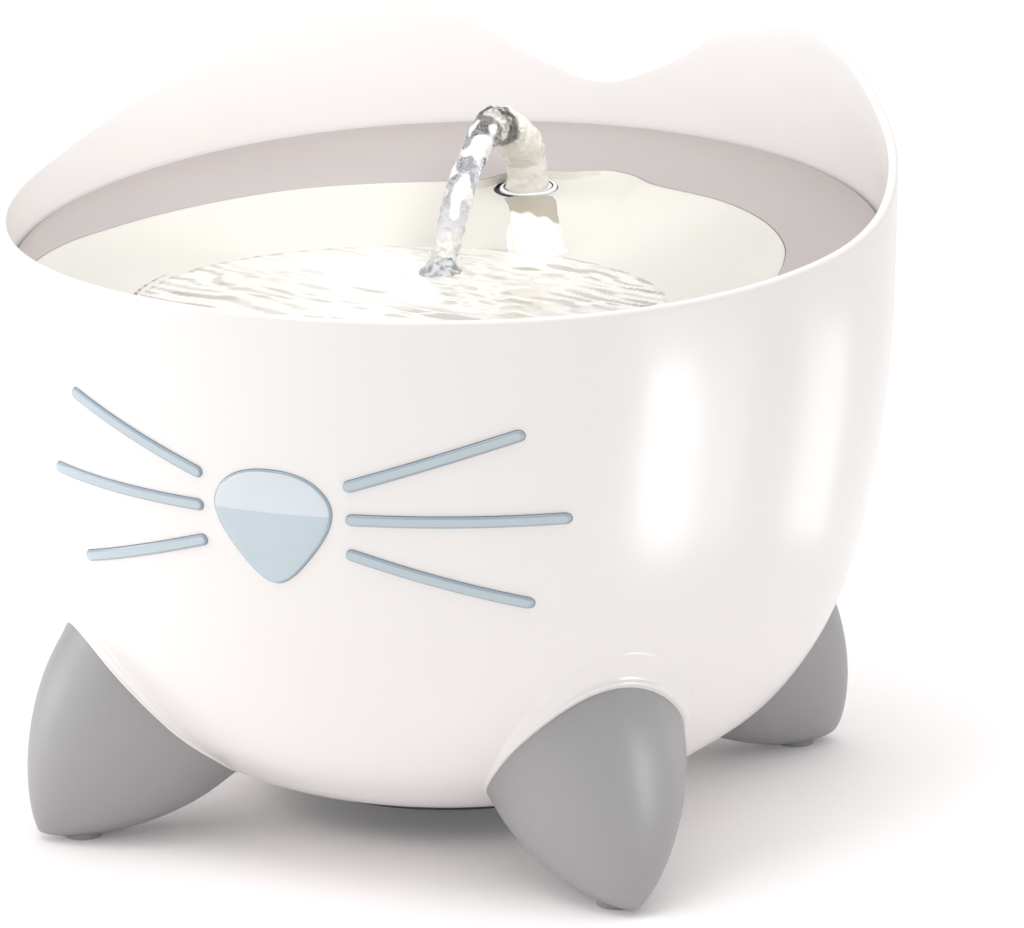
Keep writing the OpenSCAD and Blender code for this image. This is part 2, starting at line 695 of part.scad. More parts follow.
pump_z = tank_floor_z + cup_h;
pump_back = pump_y + pump_len;
axle_z = pump_z + pump_h / 2;
chamber_r = impeller_r + rotor_gap + 0.6;
chamber_depth = 9.4;
well_r = rotor_r + rotor_gap;
plate_t = 2;
well_end = pump_back - plate_t - 8;
well_wall = 1.4;
body_wall = 2;
outlet_y = pump_y + 5.4;
outlet_bore_r = 3.6;
outlet_r = 5.2;
outlet_h = 14;
cap_t = 2;
cap_r = chamber_r + 2.5;
cap_hole_r = 2.2;
cap_hole_reach = impeller_r - 3.1;
bush_r = 2.8;
bush_t = 2.8;
bush_floor = 0.6;
cup_r = 6;
cup_neck_r = 2.6;
cup_wall = 1.2;
cup_disc_r = 3;
cup_disc_t = 1.5;
cup_plug_r = 1.6;
cup_plug_h = 1.4;
cup_inset = 10;
cup_points = [for (x = [-1, 1], y = [cup_inset, pump_len - cup_inset]) [x * (pump_w / 2 - 8), pump_y + y]];

module rounded_block(w, h, r) {
    square([w, h - 2 * r], center = true);
    square([w - 2 * r, h], center = true);
    for (x = [-1, 1], z = [-1, 1]) translate([x * (w / 2 - r), z * (h / 2 - r)]) circle(r = r, $fn = 48);
}

// A block with rounded corners along Y, from y to y + length, about the pump's axle
module pump_block(y, length, inset = 0) translate([0, y + length, axle_z]) rotate([90, 0, 0])
    linear_extrude(length) rounded_block(pump_w - 2 * inset, pump_h - 2 * inset, pump_corner - inset);

module pump_body() color("whitesmoke") difference() {
    union() {
        difference() {
            pump_block(pump_y, pump_len - plate_t);
            pump_block(pump_y + chamber_depth + body_wall, pump_len, body_wall);
        }
        along_y(pump_y + chamber_depth, axle_z) cylinder(r = well_r + well_wall, h = well_end + bush_t + well_wall
            - pump_y - chamber_depth);
        translate([0, outlet_y, pump_z + pump_h - 1]) cylinder(r = outlet_r, h = outlet_h + 1);
    }
    along_y(pump_y - eps, axle_z) cylinder(r = chamber_r, h = chamber_depth);
    along_y(pump_y + 1, axle_z) cylinder(r = well_r, h = well_end - pump_y - 1);
    along_y(well_end - 1, axle_z) cylinder(r = bush_r, h = bush_t + 1);
    translate([0, outlet_y, axle_z]) cylinder(r = outlet_bore_r, h = pump_h);
    for (p = cup_points) translate([p[0], p[1], pump_z - 1]) cylinder(r = cup_plug_r, h = 1 + cup_plug_h);
}

module pump_core() color("peru") difference() {
    pump_block(pump_y + chamber_depth + body_wall, pump_len - plate_t - chamber_depth - body_wall, body_wall);
    along_y(pump_y, axle_z) cylinder(r = well_r + well_wall, h = well_end + bush_t + well_wall - pump_y);
}

module pump_rear_plate() color("whitesmoke") pump_block(pump_back - plate_t, plate_t);

module suction_cups() color("lightgray") for (p = cup_points) translate([p[0], p[1], tank_floor_z]) {
    difference() {
        cylinder(r1 = cup_r, r2 = cup_neck_r, h = cup_h - cup_disc_t);
        translate([0, 0, -eps])
            cylinder(r1 = cup_r - cup_wall, r2 = cup_neck_r - 1.6, h = cup_h - 2 * cup_disc_t);
    }
    translate([0, 0, cup_h - cup_disc_t]) cylinder(r = cup_disc_r, h = cup_disc_t);
    translate([0, 0, cup_h]) cylinder(r = cup_plug_r, h = cup_plug_h);
}

module impeller_cap() color("gainsboro") difference() {
    along_y(pump_y - cap_t, axle_z) cylinder(r = cap_r, h = cap_t);
    along_y(pump_y - cap_t - 1, axle_z) cylinder(r = bush_r, h = cap_t + 2);
    for (a = [45:90:315]) translate([0, 0, axle_z]) rotate([0, a, 0]) translate([cap_hole_reach, 0, 0])
        along_y(pump_y - cap_t - 1, 0) cylinder(r = cap_hole_r, h = cap_t + 2);
}

module shaft_bushes() color("black") {
    difference() {
        along_y(pump_y - cap_t, axle_z) cylinder(r = bush_r, h = cap_t);
        along_y(pump_y - cap_t + bush_floor, axle_z) cylinder(r = shaft_r, h = cap_t);
    }
    difference() {
        along_y(well_end, axle_z) cylinder(r = bush_r, h = bush_t);
        along_y(well_end - 1, axle_z) cylinder(r = shaft_r, h = bush_t);
    }
}

module impeller_shaft() color("ivory") along_y(pump_y - cap_t + bush_floor, axle_z)
    cylinder(r = shaft_r, h = well_end + bush_t - 1 - (pump_y - cap_t + bush_floor));

hub_r = 3.4;
vane_t = 1.2;
vane_w = 5.6;
back_plate_t = 1.6;

module impeller() color("lightsteelblue") difference() {
    union() {
        along_y(pump_y + 0.7, axle_z) cylinder(r = hub_r, h = 8);
        along_y(pump_y + 0.8 + vane_w, axle_z) cylinder(r = impeller_r, h = back_plate_t);
        for (a = [0:60:300]) translate([0, pump_y + 1, axle_z]) rotate([0, a, 0])
            translate([hub_r - 0.9, 0, -vane_t / 2]) cube([impeller_r - hub_r + 0.8, vane_w, vane_t]);
        along_y(pump_y + chamber_depth - 1, axle_z)
            cylinder(r = rotor_r, h = well_end - pump_y - chamber_depth + 0.4);
    }
    along_y(pump_y - 1, axle_z) cylinder(r = shaft_r + shaft_gap, h = pump_len);
}

cover_gap = 0.3;
cover_y = pump_y - cover_gap - cover_len;
cover_wall = 1.8;
dial_t = 2.5;
dial_grip_h = 2;
pin_r = 1.6;
pin_gap = 0.06;
pin_head_r = 2.6;
slot_w = 2.4;
slot_pitch = 5;
slot_reach = pump_w / 2 - slot_pitch;
slot_clear = 6;
filter_space = 2.2;
inlet_hole_r = 4;

module pump_cover() color("dimgray") difference() {
    pump_block(cover_y, cover_len);
    pump_block(cover_y + cover_wall, cover_len, cover_wall);
    along_y(cover_y - 1, axle_z) cylinder(r = pin_r + pin_gap, h = cover_wall + 2);
    for (x = [-slot_reach:slot_pitch:slot_reach]) if (abs(x) > slot_clear)
        translate([x - slot_w / 2, cover_y - 1, pump_z + slot_clear])
            cube([slot_w, cover_wall + 2, pump_h - 2 * slot_clear]);
    for (z = [-1, 1]) translate([-slot_pitch, cover_y - 1, axle_z + z * (pump_h / 2 - slot_pitch) - slot_w / 2])
        cube([2 * slot_pitch, cover_wall + 2, slot_w]);
}

module pre_filter() color("darkslategray") difference() {
    pump_block(cover_y + cover_wall + filter_space, cover_len - cover_wall - filter_space - cap_t - 1.4,
        cover_wall + 0.3);
    along_y(cover_y, axle_z) cylinder(r = inlet_hole_r, h = cover_wall + 2 * filter_space);
}

module flow_dial() color("gray") {
    along_y(cover_y - cover_gap - dial_t, axle_z) cylinder(r = dial_r, h = dial_t);
    along_y(cover_y - cover_gap - dial_t - dial_grip_h, axle_z) translate([-dial_r + 0.6, -1, 0])
        cube([2 * dial_r - 1.2, 2, dial_grip_h + 0.5]);
    along_y(cover_y - cover_gap - 1, axle_z) cylinder(r = pin_r, h = cover_wall + 2 * cover_gap + 1);
    along_y(cover_y + cover_wall + cover_gap, axle_z) cylinder(r = pin_head_r, h = 1.2);
}

// ---------- Tray ----------

dish_r = body_r - dish_margin;
dish_y = tray_r + dish_over - dish_r;
dish_back_r = body_r + dish_back_extra;
dish_back_y = dish_back_r + dish_back_gap - nozzle_y;
dish_back_x = dish_x + 3;
lobe_y = nozzle_y - lobe_front;
pool_r = dish_r - pool_margin;
pool_z = tray_z - pool_drop;
bowl_flat_r = pool_r - bowl_slope;
nozzle_z = tray_z + nozzle_y * tan(tray_tilt) - nozzle_sink;
// The dish's front edge lies level, a little above the pool
front_rise = 2.1;
front_z = pool_z + front_rise;
front_y = -(tray_z - front_z) / tan(tray_tilt);
deck_gap = 0.2;
lip_r = tray_r - front_lip;

module dish_outline(grow = 0) {
    intersection() {
        translate([dish_x, -dish_y]) circle(r = dish_r + grow);
        translate([dish_back_x, -dish_back_y]) circle(r = dish_back_r + grow);
    }
    translate([lobe_x, lobe_y]) circle(r = lobe_r + grow);
}

// Straight up through the whole tray
module upright(low = 0) translate([0, 0, low]) linear_extrude(far) children();
module behind_front_line() translate([-far / 2, front_y, 0]) cube([far, far, far]);
module before_front_line() translate([-far / 2, front_y - far, 0]) cube([far, far, far]);

module tray_deck() color("lightgray") difference() {
    intersection() {
        cylinder(r = tray_r, h = far);
        tray_slab(-deck_t, 0);
    }
    upright() dish_outline(deck_gap);
}

// The bowl under the pool's surface
module pool_hollow() translate([dish_x, -dish_y, pool_z - pool_depth])
    cylinder(r1 = bowl_flat_r, r2 = pool_r, h = pool_depth + eps);

// The hollow above the pool: from the level pool to a tilted edge at the deck and a level edge at the front
module slope_hollow() hull() {
    translate([dish_x, -dish_y, pool_z]) cylinder(r = pool_r, h = 0.5);
    intersection() {
        upright() translate([dish_x, -dish_y]) circle(r = dish_r - dish_edge);
        tray_slab(-dish_step, 2);
        behind_front_line();
    }
    intersection() {
        upright() translate([dish_x, -dish_y]) circle(r = dish_r - dish_edge);
        translate([-far / 2, -far / 2, front_z]) cube([far, far, 2]);
        before_front_line();
    }
}

// Everything under the dish: a level cone under the pool, and a slant under its high back.
// The slopes are rises per unit of length, outwards and backwards.
under_slope = 0.1;
back_slope = 0.43;
back_drop = 0.4;
module under_dish() {
    r = dish_r + 60;
    translate([dish_x, -dish_y, 0]) rotate_extrude() polygon([[0, 0], [r, 0],
        [r, pool_z - dish_t + under_slope * (r - pool_r)], [pool_r + 1, pool_z - dish_t],
        [bowl_flat_r + 1, pool_z - pool_depth - dish_t], [0, pool_z - pool_depth - dish_t]]);
    translate([-far / 2, pool_r - dish_y, pool_z - dish_t - back_drop]) rotate([atan(back_slope), 0, 0])
        translate([0, 0, -far]) cube([far, far, far]);
}

pocket_r = nozzle_flange_r + 1.2;
nozzle_boss_r = pocket_r + 0.8;
nozzle_boss_h = 8;
nozzle_stem_h = 6;
gasket_t = 1;
gasket_proud = 0.3;
nozzle_seat_z = nozzle_z - gasket_t;
spigot_r = riser_bore_r + riser_wall;
spigot_low = nozzle_seat_z - 16.8;
weir_angles = [-36:12:36];
weir_reach = pool_r + 2.5;
weir_w = 3.2;
weir_l = 4;
// Gap between the dish's support and the shell's ledge
support_gap = 0.4;

module drinking_dish() color("floralwhite") difference() {
    union() {
        difference() {
            intersection() {
                cylinder(r = tray_r, h = far);
                union() {
                    intersection() {
                        upright() dish_outline(dish_flange);
                        tray_slab(-far / 2, -deck_t);
                    }
                    intersection() {
                        upright() dish_outline();
                        tray_slab(-deck_t - 1, -dish_step);
                    }
                    intersection() {
                        upright() dish_outline();
                        cylinder(r = far, h = front_z);
                        before_front_line();
                    }
                }
            }
            under_dish();
            difference() {
                tray_slab(-far / 2, -deck_t);
                cylinder(r = body_r - wall - ledge_w - support_gap, h = far);
            }
        }
        translate([0, nozzle_y, nozzle_seat_z - nozzle_boss_h]) cylinder(r = nozzle_boss_r, h = nozzle_boss_h);
        translate([0, nozzle_y, spigot_low]) cylinder(r = spigot_r, h = nozzle_seat_z - nozzle_stem_h - spigot_low);
    }
    pool_hollow();
    intersection() {
        slope_hollow();
        cylinder(r = lip_r, h = far);
        upright() dish_outline(-dish_edge);
        difference() {
            cylinder(r = far, h = far);
            translate([0, nozzle_y, 0]) cylinder(r = nozzle_boss_r, h = nozzle_seat_z);
        }
    }
    translate([0, nozzle_y, nozzle_seat_z]) cylinder(r = pocket_r, h = far);
    translate([0, nozzle_y, spigot_low - 1]) cylinder(r = riser_bore_r, h = far);
    translate([0, nozzle_y, nozzle_seat_z - nozzle_stem_h]) cylinder(r = nozzle_stem_r, h = far);
    for (a = weir_angles) translate([dish_x, -dish_y, pool_z]) rotate([0, 0, a]) translate([0, -weir_reach, 0])
        cube([weir_w, weir_l, 20], center = true);
}

module nozzle_gasket() color("dimgray") difference() {
    translate([0, nozzle_y, nozzle_seat_z]) cylinder(r = nozzle_flange_r + gasket_proud, h = gasket_t);
    translate([0, nozzle_y, nozzle_seat_z - 1]) cylinder(r = nozzle_stem_r, h = 3);
}

module nozzle_ring() color("silver") difference() {
    union() {
        translate([0, nozzle_y, nozzle_z]) cylinder(r = nozzle_flange_r, h = nozzle_flange_t);
        translate([0, nozzle_y, nozzle_seat_z - nozzle_stem_h])
            cylinder(r = nozzle_stem_r, h = nozzle_stem_h + gasket_t + nozzle_flange_t);
    }
    translate([0, nozzle_y, nozzle_seat_z - 10]) cylinder(r = nozzle_bore_r, h = 20);
}

riser_low = pump_z + pump_h + 1;
riser_socket_gap = 0.25;
riser_socket_r = outlet_r + riser_socket_gap;
riser_knee_z = riser_low + outlet_h + 5;
riser_run = nozzle_y - outlet_y;
riser_top_z = riser_knee_z + riser_run / tan(riser_angle);
spigot_gap = 0.1;
riser_end_z = nozzle_seat_z - nozzle_boss_h - spigot_gap;
knuckle = 0.4;

// The riser's slanted stretch, with a rounded knuckle at each end, as a solid rod of radius r
module riser_rod(r) {
    for (end = [[outlet_y, riser_knee_z], [nozzle_y, riser_top_z]])
        translate([0, end[0], end[1]]) sphere(r = r + knuckle);
    translate([0, outlet_y, riser_knee_z]) rotate([-riser_angle, 0, 0])
        cylinder(r = r, h = riser_run / sin(riser_angle));
}

module riser_tube() color("lightgray") difference() {
    union() {
        riser_rod(riser_bore_r + riser_wall);
        translate([0, outlet_y, riser_low])
            cylinder(r = riser_socket_r + riser_wall, h = riser_knee_z - riser_low);
        translate([0, nozzle_y, riser_top_z])
            cylinder(r = spigot_r + riser_wall, h = riser_end_z - riser_top_z);
    }
    riser_rod(riser_bore_r);
    translate([0, outlet_y, riser_low - 1]) cylinder(r = riser_socket_r, h = outlet_h + 1);
    translate([0, outlet_y, riser_low]) cylinder(r = riser_bore_r, h = riser_knee_z - riser_low);
    translate([0, nozzle_y, riser_top_z]) cylinder(r = riser_bore_r, h = 30);
    translate([0, nozzle_y, spigot_low]) cylinder(r = spigot_r + spigot_gap, h = riser_end_z);
}

// ---------- Filter ----------

holder_front_r = body_r - wall - ledge_w - 1.4;
// Depth of the holder from the front of the tank to the cartridge's back
holder_d = 49.5;
filter_back_y = holder_d - holder_front_r;
filter_mid_y = filter_back_y - filter_d / 2;
holder_floor_z = nose_top_z + light_grow + 1.3;
holder_back_y = filter_back_y + filter_gap + filter_wall;
holder_half_w = filter_w / 2 + 8;
filter_low_z = holder_floor_z - filter_h + 6;
filter_slot_w = 5;
filter_slot_pitch = 9;
filter_slot_reach = filter_w / 2 - filter_slot_pitch;
filter_slot_l = filter_d - 10;
media_gap = 0.2;
media_drop = 3;

module holder_block(inset) intersection() {
    translate([-holder_half_w + inset, -far / 2, holder_floor_z]) cube([2 * (holder_half_w - inset),
        far / 2 + holder_back_y - inset, far]);
    cylinder(r = holder_front_r - inset, h = far);
}

module filter_holder() color("whitesmoke") difference() {
    intersection() {
        holder_block(0);
        under_dish();
    }
    translate([0, 0, filter_wall]) holder_block(filter_wall);
    translate([-filter_w / 2 - filter_gap, filter_mid_y - filter_d / 2 - filter_gap, 0])
        cube([filter_w + 2 * filter_gap, filter_d + 2 * filter_gap, pool_z]);
}

module filter_frame() color("gainsboro") difference() {
    translate([-filter_w / 2, filter_mid_y - filter_d / 2, filter_low_z]) cube([filter_w, filter_d, filter_h]);
    translate([-filter_w / 2 + filter_wall, filter_mid_y - filter_d / 2 + filter_wall, filter_low_z + filter_wall])
        cube([filter_w - 2 * filter_wall, filter_d - 2 * filter_wall, filter_h]);
    for (x = [-filter_slot_reach:filter_slot_pitch:filter_slot_reach])
        translate([x, filter_mid_y, filter_low_z]) cube([filter_slot_w, filter_slot_l, 3 * filter_wall], center = true);
}

module filter_media() color("darkslategray") {
    inset = filter_wall + media_gap;
    translate([-filter_w / 2 + inset, filter_mid_y - filter_d / 2 + inset, filter_low_z + filter_wall])
        cube([filter_w - 2 * inset, filter_d - 2 * inset, filter_h - filter_wall - media_drop]);
}

// ---------- Nodes ----------

outer_shell();
bottom_cover();
cover_screws();
color("darkgray") foot(foot_angles[0]);  // foot_front_left
color("darkgray") foot(foot_angles[1]);  // foot_front_right
color("darkgray") foot(foot_angles[2]);  // foot_rear_left
color("darkgray") foot(foot_angles[3]);  // foot_rear_right
foot_pads();
foot_screws();
nose_lens();
nose_seal();
whisker_lens(whisker_upper, -1);  // whisker_left_upper
whisker_lens(whisker_middle, -1);  // whisker_left_middle
whisker_lens(whisker_lower, -1);  // whisker_left_lower
whisker_lens(whisker_upper, 1);  // whisker_right_upper
whisker_lens(whisker_middle, 1);  // whisker_right_middle
whisker_lens(whisker_lower, 1);  // whisker_right_lower
whisker_seals();
light_housing();
light_board();
light_lead();
power_inlet();
inlet_seal();
inlet_lead();
control_board();
lead_grommets();
pump_body();
pump_core();
pump_rear_plate();
suction_cups();
impeller_cap();
shaft_bushes();
impeller_shaft();
impeller();
pump_cover();
pre_filter();
flow_dial();
pump_lead();
tray_deck();
drinking_dish();
nozzle_ring();
nozzle_gasket();
riser_tube();
filter_holder();
filter_frame();
filter_media();
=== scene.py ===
"""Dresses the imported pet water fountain: glossy shell, cone feet, clear windows, tray, dish and water.

Sizes are in millimetres, in the part's own frame: the origin is on the floor under the body's axis, +Z is
up and the face looks along -Y. Angles round the body are in degrees from the front, towards +X.
"""

import logging
import math
from collections.abc import Sequence
from dataclasses import dataclass, field
from enum import Enum

import bmesh
import bpy
import numpy as np
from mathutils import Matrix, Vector, noise

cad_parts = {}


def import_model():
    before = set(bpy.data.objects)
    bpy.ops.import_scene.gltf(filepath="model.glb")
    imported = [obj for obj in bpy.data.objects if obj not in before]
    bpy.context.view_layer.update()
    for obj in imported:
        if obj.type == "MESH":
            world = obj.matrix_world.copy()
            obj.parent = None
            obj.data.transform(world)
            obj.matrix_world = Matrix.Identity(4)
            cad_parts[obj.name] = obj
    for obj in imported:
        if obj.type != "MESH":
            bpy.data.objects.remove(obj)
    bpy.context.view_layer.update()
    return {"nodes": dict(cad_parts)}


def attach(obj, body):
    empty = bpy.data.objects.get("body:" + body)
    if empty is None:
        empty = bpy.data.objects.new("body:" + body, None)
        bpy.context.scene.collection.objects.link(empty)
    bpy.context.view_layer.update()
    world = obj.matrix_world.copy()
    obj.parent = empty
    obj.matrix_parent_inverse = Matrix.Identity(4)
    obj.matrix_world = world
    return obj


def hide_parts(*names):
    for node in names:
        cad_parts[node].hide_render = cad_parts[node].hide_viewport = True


LOG = logging.getLogger("fountain")
MM = 0.001
Array = np.ndarray
Colour = tuple[float, float, float, float]
Object = bpy.types.Object
Socket = bpy.types.NodeSocket
Tree = bpy.types.NodeTree
# The angle in degrees from which an edge stays crisp: on plastic, on the jet and drops, and on open water
CRISP = 35.0
CRISP_SWEPT = 50.0
CRISP_WATER = 80.0


# ---------- Meshes ----------


def linear(hex_colour: str) -> Colour:
    """Turns an sRGB hex colour into linear light.

    Args:
        hex_colour: the colour as #rrggbb.

    Returns:
        Red, green, blue and an alpha of one.
    """
    values = [int(hex_colour[i : i + 2], 16) / 255 for i in (1, 3, 5)]
    red, green, blue = [v / 12.92 if v <= 0.04045 else ((v + 0.055) / 1.055) ** 2.4 for v in values]
    return red, green, blue, 1.0


def unit(vectors: Array) -> Array:
    """Scales each row to length one."""
    return vectors / np.maximum(np.linalg.norm(vectors, axis=-1, keepdims=True), 1e-12)


def flowing(stations: Sequence, steps: int, level_ends: bool = False) -> Array:
    """Runs a smooth curve through stations.

    Args:
        stations: the points to pass through.
        steps: points made from one station to the next.
        level_ends: whether the curve is level in its second value at both ends.

    Returns:
        The curve's points, one to a row.
    """
    p = np.array(stations, float)
    tangents = np.gradient(p, axis=0)
    if level_ends:
        tangents[[0, -1], 1] = 0
    t = (np.arange(steps) / steps)[:, None]
    made = []
    for i in range(len(p) - 1):
        made.append(
            (2 * t**3 - 3 * t**2 + 1) * p[i]
            + (t**3 - 2 * t**2 + t) * tangents[i]
            + (3 * t**2 - 2 * t**3) * p[i + 1]
            + (t**3 - t**2) * tangents[i + 1]
        )
    return np.vstack([*made, p[-1:]])


def link(name: str, mesh: bpy.types.Mesh) -> Object:
    """Puts a mesh into the scene as an object at the origin.

    Args:
        name: the object's name.
        mesh: its mesh.

    Returns:
        The new object.
    """
    obj = bpy.data.objects.new(name, mesh)
    bpy.context.scene.collection.objects.link(obj)
    return obj


def settle(obj: Object, sharp: float = CRISP, outward: bool = True) -> Object:
    """Merges doubled points, turns the faces outwards and shades the mesh smooth between its sharp edges.

    Args:
        obj: the mesh object.
        sharp: the angle in degrees from which an edge stays crisp.
        outward: whether the normals are worked out again, as a closed form allows.

    Returns:
        The same object.
    """
    bm = bmesh.new()
    bm.from_mesh(obj.data)
    bmesh.ops.remove_doubles(bm, verts=bm.verts, dist=1e-6)
    bmesh.ops.dissolve_degenerate(bm, edges=bm.edges, dist=1e-7)
    if outward:
        bmesh.ops.recalc_face_normals(bm, faces=bm.faces)
    limit = math.radians(sharp)
    for face in bm.faces:
        face.smooth = True
    for edge in bm.edges:
        edge.smooth = len(edge.link_faces) == 2 and edge.calc_face_angle(0) < limit
    bm.to_mesh(obj.data)
    bm.free()
    return obj


def solid(name: str, rows: Array, ring: bool = False, bands: Sequence[int] = (),
          sharp: float = CRISP) -> Object:
    """Closes rows of points, each a loop of as many points, into one solid.

    Args:
        name: the object's name.
        rows: an array of rows by columns by three, in millimetres; a pole is a row of one repeated point.
        ring: whether the last row joins the first.
        bands: the rows, counted from the first, at which the next material starts.
        sharp: the angle in degrees from which an edge stays crisp.

    Returns:
        The new object.
    """
    count, columns = rows.shape[:2]
    index = np.arange(count * columns).reshape(count, columns)
    if ring:
        index = np.vstack([index, index[:1]])
    beside = np.roll(index, -1, axis=1)
    quads = np.stack([index[:-1], beside[:-1], beside[1:], index[1:]], axis=-1)
    mesh = bpy.data.meshes.new(name)
    mesh.from_pydata((rows.reshape(-1, 3) * MM).tolist(), [], quads.reshape(-1, 4).tolist())
    if bands:
        level = np.searchsorted(np.array(bands), np.arange(len(quads)), side="right")
        mesh.polygons.foreach_set("material_index", np.repeat(level, columns).astype(np.int32))
    return settle(link(name, mesh), sharp)


def turned(name: str, outline: Sequence, centre: Sequence[float], columns: int = 96) -> Object:
    """Turns a closed outline about an upright axis.

    Args:
        name: the object's name.
        outline: (radius, height) points; a form that reaches its axis starts and ends there.
        centre: the axis's x and y.
        columns: points round the axis.

    Returns:
        The new object.
    """
    p = np.array(outline, float)
    angle = circle(columns)
    rows = np.empty((len(p), columns, 3))
    rows[..., 0] = centre[0] + p[:, :1] * np.cos(angle)
    rows[..., 1] = centre[1] + p[:, :1] * np.sin(angle)
    rows[..., 2] = p[:, 1:]
    return solid(name, rows, ring=p[0, 0] > 0)


def plain_copy(obj: Object, name: str) -> Object:
    """Turns an object with live modifiers into a plain mesh and removes the original.

    Args:
        obj: the object, which is removed.
        name: the new object's name.

    Returns:
        The new object.
    """
    graph = bpy.context.evaluated_depsgraph_get()
    mesh = bpy.data.meshes.new_from_object(obj.evaluated_get(graph))
    bpy.data.objects.remove(obj)
    mesh.name = name
    return link(name, mesh)


def together(name: str, parts: Sequence[Object]) -> Object:
    """Joins meshes into one object, with their materials kept apart.

    Args:
        parts: the objects, of which the first one stays.
        name: the joined object's name.

    Returns:
        The joined object.
    """
    with bpy.context.temp_override(active_object=parts[0], selected_editable_objects=list(parts)):
        bpy.ops.object.join()
    parts[0].name = name
    return parts[0]


class Cut(Enum):
    """What one solid does to another."""

    ADD = "UNION"
    TAKE = "DIFFERENCE"


def cut(target: Object, tool: Object, how: Cut, sharp: float = CRISP) -> Object:
    """Adds a solid to another or takes it away, and removes the tool.

    Args:
        target: the solid that is changed.
        tool: the solid that changes it.
        how: what it does.
        sharp: the angle in degrees from which an edge stays crisp.

    Returns:
        The changed solid, as a new object with the target's name.
    """
    name = target.name
    target.name = name + "_before"
    step = target.modifiers.new("cut", "BOOLEAN")
    step.solver = "MANIFOLD"
    step.operation = how.value
    step.object = tool
    made = plain_copy(target, name)
    bpy.data.objects.remove(tool)
    return settle(made, sharp, outward=False)


@dataclass
class Recipe:
    """A Geometry Nodes tree with named inputs, which ends in plain geometry with one material."""

    name: str
    inputs: dict[str, type]

    def start(self) -> None:
        """Makes the empty tree with its inputs."""
        kinds = {float: "NodeSocketFloat", int: "NodeSocketInt", Object: "NodeSocketObject",
                 bpy.types.Material: "NodeSocketMaterial"}
        self.tree = bpy.data.node_groups.new(self.name, "GeometryNodeTree")
        sockets = self.tree.interface
        sockets.new_socket("Geometry", in_out="OUTPUT", socket_type="NodeSocketGeometry")
        sockets.new_socket("Geometry", in_out="INPUT", socket_type="NodeSocketGeometry")
        for label, kind in {**self.inputs, "Finish": bpy.types.Material}.items():
            sockets.new_socket(label, in_out="INPUT", socket_type=kinds[kind])
        self.given = self.add("NodeGroupInput").outputs

    def add(self, kind: str, settings: dict | None = None, links: dict | None = None) -> bpy.types.Node:
        """Adds one node to the tree."""
        return add_node(self.tree, kind, settings or {}, links or {})

    def end(self, geometry: Socket) -> None:
        """Makes the instances real and gives them the finish.

        Args:
            geometry: the socket that gives the tree's result.
        """
        real = self.add("GeometryNodeRealizeInstances", {}, {"Geometry": geometry})
        done = self.add("GeometryNodeSetMaterial", {},
                        {"Geometry": real.outputs[0], "Material": self.given["Finish"]})
        self.add("NodeGroupOutput", {}, {"Geometry": done.outputs[0]})

    def apply(self, source: Object, name: str, finish: "Finish", **values: object) -> Object:
        """Runs the tree on an object and keeps the result as a plain mesh.

        Args:
            source: the curve or points to start from, which is used up.
            name: the new object's name.
            finish: what the piece is made of.
            values: the other inputs, by name.

        Returns:
            The new object.
        """
        step = source.modifiers.new(self.name, "NODES")
        step.node_group = self.tree
        values["Finish"] = finish.build()
        for item in self.tree.interface.items_tree:
            if item.in_out == "INPUT" and item.name in values:
                step[item.identifier] = values[item.name]
        source.name = name + "_source"
        return settle(plain_copy(source, name), sharp=CRISP_SWEPT)


@dataclass
class Sweep(Recipe):
    """A tube along a path, with a surface that swells and folds, and wrinkles where the path says so."""

    name: str = "swept_tube"
    inputs: dict = field(default_factory=lambda: {"Sides": int, "Swell": float, "Pitch": float, "Fold": float,
                                                  "Wrinkle": float})
    # Each kind of unevenness: how much finer than the pitch it is, and the input that holds its depth
    kinds: tuple = ((1.0, "Swell"), (3.0, "Fold"), (7.0, "Wrinkle"))

    def build(self) -> None:
        """Makes the tree."""
        self.start()
        ring = self.add("GeometryNodeCurvePrimitiveCircle", {"Radius": 1.0},
                        {"Resolution": self.given["Sides"]})
        wide = self.add("GeometryNodeInputNamedAttribute", {"Name": "wide"})
        line = self.add("GeometryNodeMeshToCurve", {}, {"Mesh": self.given["Geometry"]})
        tube = self.add("GeometryNodeCurveToMesh", {"Fill Caps": True},
                        {"Curve": line.outputs[0], "Profile Curve": ring.outputs[0],
                         "Scale": wide.outputs[0]})
        shape = tube.outputs[0]
        wrinkled = self.add("GeometryNodeInputNamedAttribute", {"Name": "wrinkle"}).outputs[0]
        for finer, size in self.kinds:
            place = self.add("GeometryNodeInputPosition").outputs[0]
            scale = self.add("ShaderNodeMath", {"operation": "DIVIDE", 0: finer}, {1: self.given["Pitch"]})
            bumps = self.add("ShaderNodeTexNoise", {"Detail": 1.0, "Distortion": 0.6},
                             {"Vector": place, "Scale": scale.outputs[0]})
            centred = self.add("ShaderNodeMath", {"operation": "SUBTRACT", 1: 0.5}, {0: bumps.outputs[0]})
            depth = self.add("ShaderNodeMath", {"operation": "MULTIPLY"},
                             {0: centred.outputs[0], 1: self.given[size]}).outputs[0]
            if size == "Wrinkle":
                depth = self.add("ShaderNodeMath", {"operation": "MULTIPLY"},
                                 {0: depth, 1: wrinkled}).outputs[0]
            normal = self.add("GeometryNodeInputNormal").outputs[0]
            move = self.add("ShaderNodeVectorMath", {"operation": "SCALE"},
                            {"Vector": normal, "Scale": depth})
            moved = self.add("GeometryNodeSetPosition", {}, {"Geometry": shape, "Offset": move.outputs[0]})
            shape = moved.outputs[0]
        self.end(shape)


